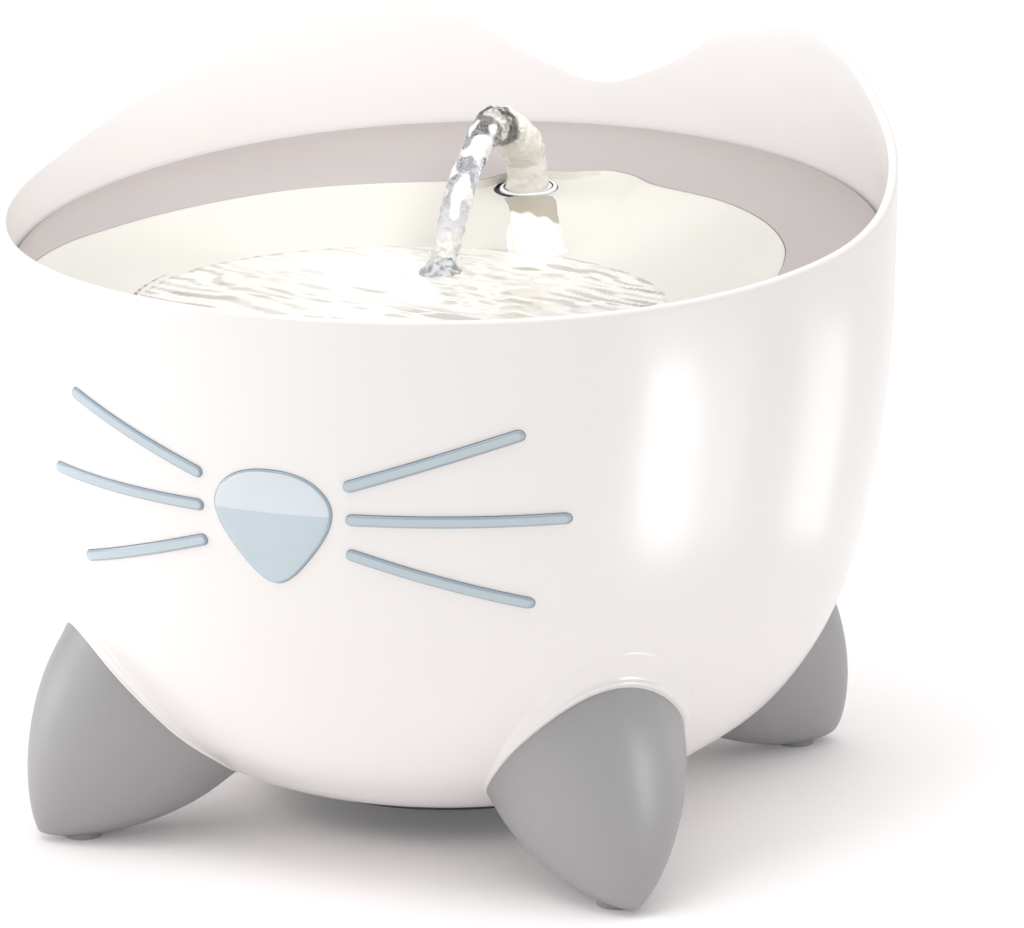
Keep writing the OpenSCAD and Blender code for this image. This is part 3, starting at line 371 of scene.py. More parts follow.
@dataclass
class Copies(Recipe):
    """Copies of one shape on points, each as large as the point's size."""

    name: str = "copies"
    inputs: dict = field(default_factory=lambda: {"Shape": Object})

    def build(self) -> None:
        """Makes the tree."""
        self.start()
        shape = self.add("GeometryNodeObjectInfo", {}, {"Object": self.given["Shape"]})
        size = self.add("GeometryNodeInputNamedAttribute", {"Name": "wide"})
        made = self.add("GeometryNodeInstanceOnPoints", {},
                        {"Points": self.given["Geometry"], "Instance": shape.outputs["Geometry"],
                         "Scale": size.outputs[0]})
        self.end(made.outputs[0])


def places(name: str, points: Sequence, sizes: Sequence, wrinkles: Sequence = ()) -> Object:
    """Makes loose points, or a chain of them, each with a size.

    Args:
        name: the object's name.
        points: the points, in millimetres.
        sizes: each point's size: a half width along a chain, or a factor for a copy.
        wrinkles: how wrinkled a path is at each point, from 0 to 1; loose points have none.

    Returns:
        The new object.
    """
    mesh = bpy.data.meshes.new(name)
    edges = [(i, i + 1) for i in range(len(points) - 1)] if len(wrinkles) else []
    mesh.from_pydata((np.asarray(points, float) * MM).tolist(), edges, [])
    wide = mesh.attributes.new("wide", "FLOAT", "POINT")
    wide.data.foreach_set("value", np.asarray(sizes, np.float32))
    made = link(name, mesh)
    if len(wrinkles):
        stain(made, "wrinkle", np.asarray(wrinkles))
    return made


def stain(obj: Object, name: str, shares: Array) -> None:
    """Writes a share from 0 to 1 on each of a mesh's points, for its finish to read."""
    layer = obj.data.attributes.new(name, "FLOAT", "POINT")
    layer.data.foreach_set("value", np.clip(shares, 0, 1).astype(np.float32))


def points_of(obj: Object) -> Array:
    """Gives a mesh's points, in millimetres."""
    return np.array([v.co for v in obj.data.vertices]) / MM


def cloud(points: Array, pitch: float, shift: float = 0.0) -> Array:
    """Gives smooth noise from about -1 to 1 at points, with features as wide as the pitch, in millimetres."""
    return np.array([noise.noise(Vector(p) / pitch + Vector((shift, shift, shift))) for p in points])


def circle(count: int) -> Array:
    """Gives angles all round, in radians."""
    return np.linspace(0, 2 * math.pi, count, endpoint=False)


def ways(count: int) -> Array:
    """Gives unit directions all round, anticlockwise from +X."""
    return np.column_stack([np.cos(circle(count)), np.sin(circle(count))])


def move_points(obj: Object, points: Array) -> None:
    """Puts a mesh's points in new places, in millimetres."""
    obj.data.vertices.foreach_set("co", (points * MM).astype(np.float32).ravel())


def ramp(values: Array, start: float, width: float) -> Array:
    """Rises from 0 at a value to 1 a width past it."""
    return np.clip((values - start) / width, 0, 1)


def bell(values: Array, middle: float, width: float) -> Array:
    """Gives 1 at the middle and falls off on both sides of it."""
    return np.exp(-(((values - middle) / width) ** 2))


# ---------- Finishes ----------


def add_node(tree: Tree, kind: str, settings: dict, links: dict) -> bpy.types.Node:
    """Adds one node with its settings and links.

    Args:
        tree: the node tree.
        kind: the node's type.
        settings: values by property name, or by input name or number.
        links: the socket that feeds an input, by the input's name or number.

    Returns:
        The new node.
    """
    node = tree.nodes.new(kind)
    for key, value in settings.items():
        if isinstance(key, str) and hasattr(node, key):
            setattr(node, key, value)
        else:
            node.inputs[key].default_value = value
    for key, source in links.items():
        tree.links.new(source, node.inputs[key])
    return node


@dataclass(frozen=True)
class Finish:
    """A plain surface: its colour, its sheen and the fine texture that making it leaves.

    Subclasses say what else the surface does. The colour varies a little over tone_mm, the texture's grain
    has a pitch of grain_mm, and the sheen varies as handling leaves it. The grain is drawn coarser than a
    real mould's skin, so that it shows.
    """

    name: str
    colour: str
    roughness: float = 0.3
    ior: float = 1.5
    metallic: float = 0.0
    coat: float = 0.0
    shade: str = ""
    tone_mm: float = 40.0
    grain_mm: float = 0.8
    grain_depth: float = 0.04
    grain_detail: float = 2.0
    sheen_spread: float = 0.06
    transmission: float = 0.0
    glow: float = 0.0

    def build(self) -> bpy.types.Material:
        """Makes the material, or finds it if it was made before.

        Returns:
            The material.
        """
        found = bpy.data.materials.get(self.name)
        if found:
            return found
        made = bpy.data.materials.new(self.name)
        made.use_nodes = True
        tree = made.node_tree
        tree.nodes.clear()
        place = add_node(tree, "ShaderNodeTexCoord", {}, {}).outputs["Object"]
        settings = {
            "Metallic": self.metallic,
            "IOR": self.ior,
            "Coat Weight": self.coat,
            "Coat Roughness": 0.03,
            "Transmission Weight": self.transmission,
            "Emission Color": linear(self.colour),
            "Emission Strength": self.glow,
        }
        links = {
            "Base Color": self.paint(tree, place),
            "Roughness": self.gloss(tree, place),
            "Normal": self.relief(tree, place),
        }
        shader = add_node(tree, "ShaderNodeBsdfPrincipled", settings, links)
        add_node(tree, "ShaderNodeOutputMaterial", {}, {"Surface": shader.outputs[0]})
        return made

    def tint(self, tree: Tree, share: Socket, low: "str | Socket",
             high: str) -> Socket:
        """Blends two colours, the first of which may come from a socket, by a share from 0 to 1.

        Args:
            tree: the material's tree.
            share: the socket of the second colour's share.
            low: the first colour, or the socket that gives it.
            high: the second colour.

        Returns:
            The blended colour's socket.
        """
        mix = add_node(tree, "ShaderNodeMix", {"data_type": "RGBA"}, {"Factor": share})
        if isinstance(low, str):
            mix.inputs[6].default_value = linear(low)
        else:
            tree.links.new(low, mix.inputs[6])
        mix.inputs[7].default_value = linear(high)
        return mix.outputs[2]

    def paint(self, tree: Tree, place: Socket) -> Socket:
        """Gives the colour, which drifts softly over the surface.

        Args:
            tree: the material's tree.
            place: the socket of the point's place.

        Returns:
            The colour's socket.
        """
        settings = {"Scale": 1 / (self.tone_mm * MM), "Detail": 3.0}
        drift = add_node(tree, "ShaderNodeTexNoise", settings, {"Vector": place})
        return self.tint(tree, drift.outputs[0], self.colour, self.shade or self.colour)

    def gloss(self, tree: Tree, place: Socket) -> Socket:
        """Gives the roughness, which varies as wiping and handling leave it.

        Args:
            tree: the material's tree.
            place: the socket of the point's place.

        Returns:
            The roughness's socket.
        """
        settings = {"Scale": 1 / (self.tone_mm * MM * 0.6), "Detail": 4.0}
        smear = add_node(tree, "ShaderNodeTexNoise", settings, {"Vector": place})
        low, high = self.roughness - self.sheen_spread / 2, self.roughness + self.sheen_spread / 2
        spread = {"From Min": 0.3, "From Max": 0.7, "To Min": max(low, 0.0), "To Max": high}
        return add_node(tree, "ShaderNodeMapRange", spread, {"Value": smear.outputs[0]}).outputs[0]

    def texture(self, tree: Tree, place: Socket) -> Socket:
        """Gives the height of the fine texture that making the surface leaves.

        Args:
            tree: the material's tree.
            place: the socket of the point's place.

        Returns:
            The height's socket.
        """
        settings = {"Scale": 1 / (self.grain_mm * MM), "Detail": self.grain_detail}
        return add_node(tree, "ShaderNodeTexNoise", settings, {"Vector": place}).outputs[0]

    def relief(self, tree: Tree, place: Socket) -> Socket:
        """Turns the texture's height into fine bumps.

        Args:
            tree: the material's tree.
            place: the socket of the point's place.

        Returns:
            The normal's socket.
        """
        height = self.texture(tree, place)
        bump = {"Strength": 1.0, "Distance": self.grain_depth * MM}
        return add_node(tree, "ShaderNodeBump", bump, {"Height": height}).outputs[0]


@dataclass(frozen=True)
class Clear(Finish):
    """Clear tinted plastic: paler above a level, where air lies behind it, and deeper in tone below it."""

    level_mm: float = 0.0
    level_blur: float = 0.15
    below: str = ""

    def paint(self, tree: Tree, place: Socket) -> Socket:
        """Gives the tint above and below the level.

        Args:
            tree: the material's tree.
            place: the socket of the point's place.

        Returns:
            The colour's socket.
        """
        if not self.below:
            return super().paint(tree, place)
        height = add_node(tree, "ShaderNodeSeparateXYZ", {}, {"Vector": place}).outputs["Z"]
        low, high = self.level_mm - self.level_blur, self.level_mm + self.level_blur
        edges = {"From Min": low * MM, "From Max": high * MM}
        share = add_node(tree, "ShaderNodeMapRange", edges, {"Value": height}).outputs[0]
        return self.tint(tree, share, self.below, self.colour)


@dataclass(frozen=True)
class Foam(Finish):
    """Open-cell foam: a field of small pores."""

    def texture(self, tree: Tree, place: Socket) -> Socket:
        """Gives the pores' height.

        Args:
            tree: the material's tree.
            place: the socket of the point's place.

        Returns:
            The height's socket.
        """
        settings = {"Scale": 1 / (self.grain_mm * MM)}
        return add_node(tree, "ShaderNodeTexVoronoi", settings, {"Vector": place}).outputs[0]


@dataclass(frozen=True)
class Water(Finish):
    """Water: milky by each point's share "milk", where it holds air and on the jet partly as painted
    highlight, and darker by its share "wave", which is painted shade.
    """

    milk: str = ""
    milk_clear: float = 0.12
    # The colour of the painted shade that each point's share "wave" lays on
    wave: str = ""

    def paint(self, tree: Tree, place: Socket) -> Socket:
        """Gives the tint: milky by its share "milk", then darker by the painted shade in its share "wave".

        Args:
            tree: the material's tree.
            place: the socket of the point's place.

        Returns:
            The colour's socket.
        """
        tint = super().paint(tree, place)
        for name, colour in (("milk", self.milk), ("wave", self.wave)):
            if colour:
                share = add_node(tree, "ShaderNodeAttribute", {"attribute_name": name}, {}).outputs["Fac"]
                tint = self.tint(tree, share, tint, colour)
        return tint

    def build(self) -> bpy.types.Material:
        """Makes the material, and lets less light through where the water is milky.

        Returns:
            The material.
        """
        new = self.name not in bpy.data.materials
        made = super().build()
        if new and self.milk:
            tree = made.node_tree
            shader = next(n for n in tree.nodes if n.bl_idname == "ShaderNodeBsdfPrincipled")
            milk = add_node(tree, "ShaderNodeAttribute", {"attribute_name": "milk"}, {}).outputs["Fac"]
            ends = {"To Min": self.transmission, "To Max": self.milk_clear}
            share = add_node(tree, "ShaderNodeMapRange", ends, {"Value": milk})
            tree.links.new(share.outputs[0], shader.inputs["Transmission Weight"])
        return made


# Glossy white ABS from a polished mould: a clean mirror over a white body
SHELL = Finish("glossy_white_abs", "#edeae8", roughness=0.23, ior=1.53, shade="#eae7e5", grain_depth=0.004)
# Grey ABS with a fine spark-eroded skin: satin, with soft wide highlights
FOOT = Finish("satin_grey_abs", "#9f9e9f", roughness=0.42, shade="#9b9a9c", grain_mm=0.7, grain_depth=0.03)
# Clear light blue acrylic over the tank: paler above the water behind it
NOSE = Clear("clear_blue_acrylic", "#eef6fc", roughness=0.03, shade="#eef6fc", level_mm=108.0,
             below="#d6e4ec", transmission=0.25, grain_depth=0.004, sheen_spread=0.02)
# The windows' rounded acrylic edge, painted darker than the face: painted shade round each window's rim
WINDOW_EDGE_SHADE = Finish("acrylic_edge", "#93a3b1", roughness=0.08, shade="#a9b8c4", grain_depth=0.004)
# The whisker windows' clear blue acrylic, a little deeper in tone than the nose
WHISKER = Clear("clear_blue_whisker", "#d6e3e9", roughness=0.04, shade="#cbdbe3", transmission=0.25,
                grain_depth=0.004, sheen_spread=0.02)
# Light grey ABS with a fine matt skin: even, without a mirror
DECK = Finish("matt_grey_abs", "#aea7a5", roughness=0.5, shade="#aaa2a1", grain_mm=0.6, grain_depth=0.02)
# Cream ABS, smooth and half glossy
DISH = Finish("cream_abs", "#cfccc6", roughness=0.2, shade="#ccc9c1", grain_depth=0.006)
# Dark grey ABS: a satin that stays dark under the body; in the outlet ring's groove it is painted shade
BASE_AND_GROOVE_SHADE = Finish("dark_abs", "#34383d", roughness=0.4, shade="#2f3338", grain_depth=0.03)
# Moulded rubber: grey and satin under the feet, dark and dull in the seals, pale and softer in the cups
PAD = Finish("mid_grey_rubber", "#9c9b9d", roughness=0.6, shade="#979698", grain_mm=0.5, grain_depth=0.05)
RUBBER = Finish("grey_rubber", "#2b2c2e", roughness=0.75, shade="#242527", grain_mm=0.5, grain_depth=0.05)
PALE_RUBBER = Finish("pale_silicone", "#d9dadc", roughness=0.5, shade="#cfd1d3", grain_mm=0.5,
                     grain_depth=0.03)
# White ABS inside, off a plain mould: half glossy
INNER = Finish("inner_white_abs", "#eeeeec", roughness=0.32, shade="#e8e8e5", grain_depth=0.02)
# Stainless steel, turned: bright, with fine tool marks
SCREW = Finish("stainless_steel", "#c9c9c7", roughness=0.28, metallic=1.0, shade="#bdbdba", grain_mm=0.3,
               grain_depth=0.01, grain_detail=3.0)
# White ABS, polished and lacquered: the flange's bright lip
RING = Finish("polished_white_abs", "#e6e7e8", roughness=0.14, shade="#dfe0e2", coat=0.3, grain_depth=0.004)
# Fibreglass board under green solder mask: an even gloss
BOARD = Finish("green_circuit_board", "#2f6b4a", roughness=0.35, shade="#27603f", tone_mm=3.0,
               grain_depth=0.03)
# Drawn vinyl of the leads: black, half glossy
LEAD = Finish("black_vinyl", "#26272a", roughness=0.45, shade="#202124", grain_depth=0.02)
# Cast resin round the pump's coil: brown and cloudy
POTTING = Finish("brown_potting_resin", "#6a4a33", roughness=0.3, shade="#5d402b", tone_mm=8.0,
                 grain_depth=0.05)
# Ground and polished ceramic: a white gloss
CERAMIC = Finish("polished_ceramic", "#f2efe6", roughness=0.1, ior=1.7, shade="#eeebe1", grain_depth=0.003)
# Moulded nylon: pale blue, half glossy
IMPELLER = Finish("blue_nylon", "#9fb4cb", roughness=0.35, shade="#93a9c2", grain_depth=0.02)
# Open-cell foam: black and dull, with pores
FOAM = Foam("black_filter_foam", "#2c2f31", roughness=0.95, shade="#232527", grain_mm=1.1, grain_depth=0.6)
# The pump's cover and dial: grey ABS off a plain mould, satin
PUMP_COVER = Finish("dark_pump_abs", "#4a4e53", roughness=0.4, shade="#44484d", grain_depth=0.03)
DIAL = Finish("grey_dial_abs", "#8f9397", roughness=0.4, shade="#888c90", grain_depth=0.03)
# Extruded silicone hose: milky, and lets a little light through
RISER = Finish("milky_silicone", "#e3e5e4", roughness=0.35, shade="#dcdedd", transmission=0.2,
               grain_depth=0.02)
# The jet: milky with air as it leaves the outlet, then clear, with white patches that are partly painted
# highlight and painted shade in dark folds at its crest
JET = Water("running_water", "#dde2ee", roughness=0.0, ior=1.333, shade="#dde2ee", transmission=1.0,
            milk="#ebe7df", wave="#7b7564", grain_depth=0.0, sheen_spread=0.0)
# The pool: water that holds fine air over the cream dish, with painted shade: grey-brown where its waves turn
# from the light
POOL = Water("pool_water", "#e2dfd8", roughness=0.02, ior=1.333, shade="#e2dfd8", transmission=0.4,
             wave="#7e766a", grain_depth=0.0, sheen_spread=0.02)
# The film on the dish, which shows the cream under it, with painted shade: a dark patch under the ring, a
# faint streak and dark rims at its sides
FILM = Water("film_water", "#ebe7df", roughness=0.04, ior=1.333, shade="#ebe7df", wave="#8d8371",
             grain_depth=0.0, sheen_spread=0.02)
# The foam where the jet falls in, with painted shade in grey patches
SPLASH = Water("splash_water", "#e4e6e6", roughness=0.02, ior=1.333, shade="#e4e6e6", transmission=0.45,
               wave="#979da0", grain_depth=0.0, sheen_spread=0.0)
# Clear drops in the air
DROPS = Water("clear_drops", "#ffffff", roughness=0.0, ior=1.333, shade="#ffffff", transmission=1.0,
              grain_depth=0.0, sheen_spread=0.0)
# The floor: white acrylic, lit a little from below
FLOOR = Finish("white_floor", "#fefbfb", roughness=0.9, shade="#fefbfb", grain_depth=0.0, glow=0.075)


# ---------- Body ----------


@dataclass(frozen=True)
class BodyForm:
    """The body's form: a round side that swells to its rim, and a rim that rises to two ears."""

    radius: float = 120.0
    base_z: float = 10.7
    rim_z: float = 159.0
    ear_rise: float = 42.0
    wall: float = 2.6
    # The side's stations, bottom to rim: share of the radius, share of the height
    side: tuple = ((0.384, 0), (0.528, 0.03), (0.639, 0.08), (0.762, 0.16), (0.862, 0.28), (0.925, 0.421),
                   (0.968, 0.601), (0.994, 0.801), (1, 1))
    # The rim's stations, front to back: angle, share of the ears' rise
    rim: tuple = ((0, 0), (45, 0.024), (75, 0.114), (90, 0.202), (100, 0.31), (120, 0.595), (135, 0.869),
                  (148, 1), (160, 0.869), (170, 0.595), (180, 0.436))
    side_steps: int = 8
    rim_steps: int = 12
    core_columns: int = 256

    def outline(self, depth: float = 0.0) -> Array:
        """Gives the side's outline as (radius, height) points, bottom to rim.

        Args:
            depth: how far inside the outer skin it lies.

        Returns:
            One point to a row.
        """
        share = flowing(self.side, self.side_steps)
        height = self.base_z + share[:, 1] * (self.rim_z - self.base_z)
        p = np.column_stack([share[:, 0] * self.radius, height])
        along = np.gradient(p, axis=0)
        normal = unit(np.column_stack([along[:, 1], -along[:, 0]]))
        normal[-1] = (1, 0)
        return p - depth * normal

    def radius_at(self, z: Array | float, depth: float = 0.0) -> Array:
        """Gives the side's radius at a height."""
        p = self.outline(depth)
        return np.interp(z, p[:, 1], p[:, 0])

    def rim_at(self, angle: Array) -> Array:
        """Gives the rim's height at an angle.

        Args:
            angle: degrees from the front.

        Returns:
            The height.
        """
        p = flowing(self.rim, self.rim_steps, level_ends=True)
        turn = np.abs((np.asarray(angle) + 180) % 360 - 180)
        return self.rim_z + self.ear_rise * np.interp(turn, p[:, 0], p[:, 1])

    def round(self, radius: Array, z: Array, angle: Array) -> Array:
        """Places points by radius, height and angle."""
        turn = np.radians(angle)
        return np.stack(np.broadcast_arrays(radius * np.sin(turn), -radius * np.cos(turn), z), axis=-1)

    def on_front(self, flat: Array, depth: float) -> Array:
        """Lays (x, z) points on the front of the skin, or a depth inside it."""
        radius = self.radius_at(flat[:, 1], depth)
        return np.column_stack([flat[:, 0], -np.sqrt(radius**2 - flat[:, 0] ** 2), flat[:, 1]])

    def height_above(self, points: Array) -> Array:
        """Says how far outside the skin points lie, level with them; negative is inside."""
        return np.hypot(points[..., 0], points[..., 1]) - self.radius_at(points[..., 2])

    def normal_at(self, points: Array) -> Array:
        """Gives the skin's outward normal nearest to points on it.

        Args:
            points: the points, in the last axis.

        Returns:
            A unit vector for each point.
        """
        p = self.outline()
        slope = np.gradient(p[:, 0], p[:, 1])
        fall = -np.interp(points[..., 2], p[:, 1], slope)
        out = unit(points[..., :2])
        return unit(np.concatenate([out, fall[..., None]], axis=-1))

    def core(self, grow: float = 0.0) -> Object:
        """Makes the solid inside the skin, to cut what lies against it.

        Args:
            grow: how far past the skin it reaches.

        Returns:
            The solid.
        """
        p = self.outline(-grow)
        top = self.rim_z + self.ear_rise
        closed = [(0, p[0, 1]), *p.tolist(), (p[-1, 0], top), (0, top)]
        return turned("body_core", closed, (0, 0), columns=self.core_columns)


@dataclass(frozen=True)
class FootForm:
    """A foot's form: a cone, squeezed sideways and tilted outwards under the body."""

    reach: float = 86.0
    angle: float = 46.0
    tilt: float = 136.0
    radius: float = 30.0
    length: float = 45.5
    squeeze: float = 0.87
    # How fast the cone widens above its seat, and over what distance that sets in
    flare: float = 0.45
    flare_n: float = 1.6
    # The cone's curve: how late it tapers, and how blunt its tip is
    power: float = 1.6
    roundness: float = 0.75
    pad_proud: float = 0.4

    def radius_at(self, n: Array) -> Array:
        """Gives the cone's radius at a distance along its axis from its seat.

        Args:
            n: the distance along its axis, negative above the seat.

        Returns:
            The radius.
        """
        share = np.clip(np.asarray(n, float) / self.length, 0, 1)
        grown = self.radius * (1 - share**self.power) ** self.roundness
        return grown + self.flare * self.flare_n * np.logaddexp(0, -np.asarray(n, float) / self.flare_n)

    def centre_z(self) -> float:
        """Gives the seat's height, so that the foot's lowest point clears the floor by its pad.

        Returns:
            The height.
        """
        n = np.linspace(0, self.length, 200)
        turn = math.radians(self.tilt)
        return self.pad_proud + float(np.max(self.radius_at(n) * math.sin(turn) - n * math.cos(turn)))

    def place(self, local: Array, angle: float) -> Array:
        """Moves points from a foot's own frame, whose third axis runs along the cone, to the part's frame.

        Args:
            local: points in the foot's frame.
            angle: the foot's angle round the body.

        Returns:
            The points in the part's frame.
        """
        turn, tilt = math.radians(angle), math.radians(self.tilt)
        out = np.array([math.sin(turn), -math.cos(turn), 0.0])
        side = np.array([math.cos(turn), math.sin(turn), 0.0])
        up = np.array([0.0, 0.0, 1.0])
        across = out * math.cos(tilt) - up * math.sin(tilt)
        along = out * math.sin(tilt) + up * math.cos(tilt)
        centre = out * self.reach + up * self.centre_z()
        return centre + local[..., :1] * across + local[..., 1:2] * side + local[..., 2:] * along

    def ring(self, turn: Array, n: Array, grow: Array | float) -> Array:
        """Gives points round the cone in its own frame, grown outwards from its surface.

        Args:
            turn: angles round the cone, in radians.
            n: distances along its axis.
            grow: how far outside its surface they lie.

        Returns:
            The points, in the last axis.
        """
        radius = self.radius_at(n)
        away = unit(np.stack([np.cos(turn), np.sin(turn) / self.squeeze], axis=-1))
        x = radius * np.cos(turn) + grow * away[..., 0]
        y = radius * self.squeeze * np.sin(turn) + grow * away[..., 1]
        return np.stack(np.broadcast_arrays(x, y, n), axis=-1)


@dataclass
class Windows:
    """The nose and the six whiskers: clear plates that follow the skin and stand a little proud of it."""

    body: BodyForm
    whisker_w: float = 3.2
    nose_w: float = 32.0
    nose_top: float = 117.0
    nose_h: float = 28.5
    proud: float = 0.9
    gap: float = 0.12
    bevel: float = 0.55
    drop: float = 0.6
    seat: float = 3.4
    back: float = 4.6
    flange: float = 1.6
    # Each whisker's centre line: outer angle, outer height, inner angle, inner height
    upper: tuple = (30.5, 129.8, 10.1, 116.3)
    middle: tuple = (36.5, 107.4, 10.3, 107.4)
    lower: tuple = (32.2, 85.1, 10.2, 98.0)
    # The nose's front outline, top to tip: distance from the middle, height
    nose: tuple = ((0, 119.3), (5, 118.9), (9.6, 117.5), (13.1, 115.1), (15.4, 112), (16.1, 108.7),
                   (15.2, 104.8), (13.1, 100.9), (10.2, 96.9), (6.3, 92.4), (3, 89.7), (0, 88.7))
    nose_edge: float = 1.7
    # The circles that bound its stem behind the wall: shares of its width and height, and of its width
    nose_circles: tuple = ((0.3, 0.74, 0.2), (0, 0.62, 0.335), (0.235, 0.55, 0.2), (0, 0.13, 0.095))
    nose_steps: int = 12
    corner_steps: int = 48
    outline_points: int = 144
    # How finely the face, its rounded edge and the flange's back are drawn, and the width of a narrow edge
    face_rows: int = 9
    edge_turns: tuple = (15, 30, 45, 60, 75, 90)
    back_rows: int = 5
    back_from: float = 0.85
    narrow: float = 1.0
    crisp: float = 50.0
    # The hole's cutter: where it starts and ends, front to back
    hole: tuple = (-135.0, -80.0)

    def whisker_outline(self, line: tuple, side: int) -> Array:
        """Gives a whisker's outline in x and z, anticlockwise.

        Args:
            line: its centre line's two ends, each an angle and a height.
            side: -1 for the left and 1 for the right.

        Returns:
            One point to a row.
        """
        wide = [side * float(self.body.radius_at(z)) * math.sin(math.radians(angle))
                for angle, z in (line[:2], line[2:])]
        ends = np.array([[wide[0], line[1]], [wide[1], line[3]]])
        along = ends[1] - ends[0]
        turn = math.atan2(along[1], along[0])
        made = []
        for end in (0, 1):
            angle = turn + math.pi / 2 + math.pi * (end + np.linspace(0, 1, self.corner_steps // 2))
            made.append(ends[end] + self.whisker_w / 2 * np.column_stack([np.cos(angle), np.sin(angle)]))
        return self.evenly(np.vstack(made))

    def nose_outline(self) -> Array:
        """Gives the nose's front outline in x and z, anticlockwise.

        Returns:
            One point to a row.
        """
        before, after = ((-x, z) for x, z in (self.nose[1], self.nose[-2]))
        half = flowing([before, *self.nose, after], self.nose_steps)[self.nose_steps : -self.nose_steps]
        return self.evenly(np.vstack([half[::-1], (half * (-1, 1))[1:-1]]))

    def stem_outline(self) -> Array:
        """Gives the outline of the nose's stem in x and z, anticlockwise: the tight band round its circles.

        Returns:
            One point to a row.
        """
        angle = circle(self.corner_steps * 2)
        points = []
        for x, z, r in self.nose_circles:
            for side in (-1, 1):
                centre = (side * x * self.nose_w, self.nose_top - self.nose_h + z * self.nose_h)
                points += [(centre[0] + r * self.nose_w * c, centre[1] + r * self.nose_w * s)
                           for c, s in zip(np.cos(angle), np.sin(angle))]
        return self.evenly(self.band(points))

    @staticmethod
    def band(points: Sequence) -> Array:
        """Gives the convex outline of points, anticlockwise.

        Args:
            points: the (x, z) points.

        Returns:
            One corner to a row.
        """
        ordered = sorted(set(points))
        halves = []
        for run in (ordered, ordered[::-1]):
            half: list = []
            for p in run:
                while len(half) > 1 and (
                    (half[-1][0] - half[-2][0]) * (p[1] - half[-2][1])
                    <= (half[-1][1] - half[-2][1]) * (p[0] - half[-2][0])
                ):
                    half.pop()
                half.append(p)
            halves += half[:-1]
        return np.array(halves)

    def evenly(self, outline: Array) -> Array:
        """Spaces a closed outline's points evenly.

        Args:
            outline: the closed outline.

        Returns:
            As many points as outline_points says.
        """
        closed = np.vstack([outline, outline[:1]])
        length = np.concatenate([[0], np.cumsum(np.linalg.norm(np.diff(closed, axis=0), axis=1))])
        at = np.linspace(0, length[-1], self.outline_points, endpoint=False)
        return np.column_stack([np.interp(at, length, closed[:, i]) for i in (0, 1)])

    @staticmethod
    def grown(outline: Array, grow: float) -> Array:
        """Moves an anticlockwise outline outwards."""
        along = np.roll(outline, -1, axis=0) - np.roll(outline, 1, axis=0)
        return outline + grow * unit(np.column_stack([along[:, 1], -along[:, 0]]))

    def plate(self, name: str, outline: Array, stem: Array, wide: float) -> Object:
        """Makes a window: a domed face with a rounded edge, a stem through the wall and a flange behind it.

        Args:
            name: the piece's name.
            outline: its front outline.
            stem: the outline of its stem.
            wide: how wide its rounded edge is.

        Returns:
            The window, in three bands: face, edge with painted shade, and back.
        """
        body, edge = self.body, self.grown(outline, -self.gap)
        centre = edge.mean(axis=0)
        rows = []
        face = self.grown(edge, -wide)
        for share in np.linspace(0, 1, self.face_rows):
            rows.append(body.on_front(centre + (face - centre) * share, -self.proud))
        for turn in np.radians(self.edge_turns):
            inset, drop = wide * (1 - math.sin(turn)), self.drop * (1 - math.cos(turn))
            rows.append(body.on_front(self.grown(edge, -inset), drop - self.proud))
        # The band of painted edge shade starts with a narrow edge, and only where a wide one turns down
        edge_start = self.face_rows - 1 if wide < self.narrow else self.face_rows + 2
        edge_end = len(rows) + 1
        through, flange = self.grown(stem, -self.gap), self.grown(stem, self.flange)
        rows.append(body.on_front(edge, body.wall / 2))
        for outline_at, depth in ((through, body.wall), (through, self.seat), (flange, self.seat),
                                  (flange, self.back)):
            rows.append(body.on_front(outline_at, depth))
        for share in np.linspace(self.back_from, 0, self.back_rows):
            rows.append(body.on_front(centre + (flange - centre) * share, self.back))
        return solid(name, np.stack(rows), bands=(edge_start, edge_end), sharp=self.crisp)

    def cutter(self, outline: Array) -> Object:
        """Makes the solid that opens a window's hole through the wall.

        Args:
            outline: the window's outline.

        Returns:
            The solid.
        """
        rows = [np.column_stack([outline[:, 0], np.full(len(outline), y), outline[:, 1]]) for y in self.hole]
        middle = [np.tile(row.mean(axis=0), (len(outline), 1)) for row in rows]
        return solid("window_hole", np.stack([middle[0], rows[0], rows[1], middle[1]]))

    def outlines(self) -> dict[str, Array]:
        """Gives each window's outline by its node's name.

        Returns:
            The outlines in x and z, by node.
        """
        made = {"nose_lens": self.nose_outline()}
        for side, word in ((-1, "left"), (1, "right")):
            for place, line in (("upper", self.upper), ("middle", self.middle), ("lower", self.lower)):
                made[f"whisker_{word}_{place}"] = self.whisker_outline(line, side)
        return made

    def build(self) -> None:
        """Makes all the windows and dresses them."""
        for node, outline in self.outlines().items():
            nose = node == "nose_lens"
            stem, wide = (self.stem_outline(), self.nose_edge) if nose else (outline, self.bevel)
            made = self.plate(node + "_clear", outline, stem, wide)
            front = NOSE if nose else WHISKER
            # Each window's rounded edge takes the painted edge shade
            dress(made, front, WINDOW_EDGE_SHADE, front)
            show(made, "tank", [node])


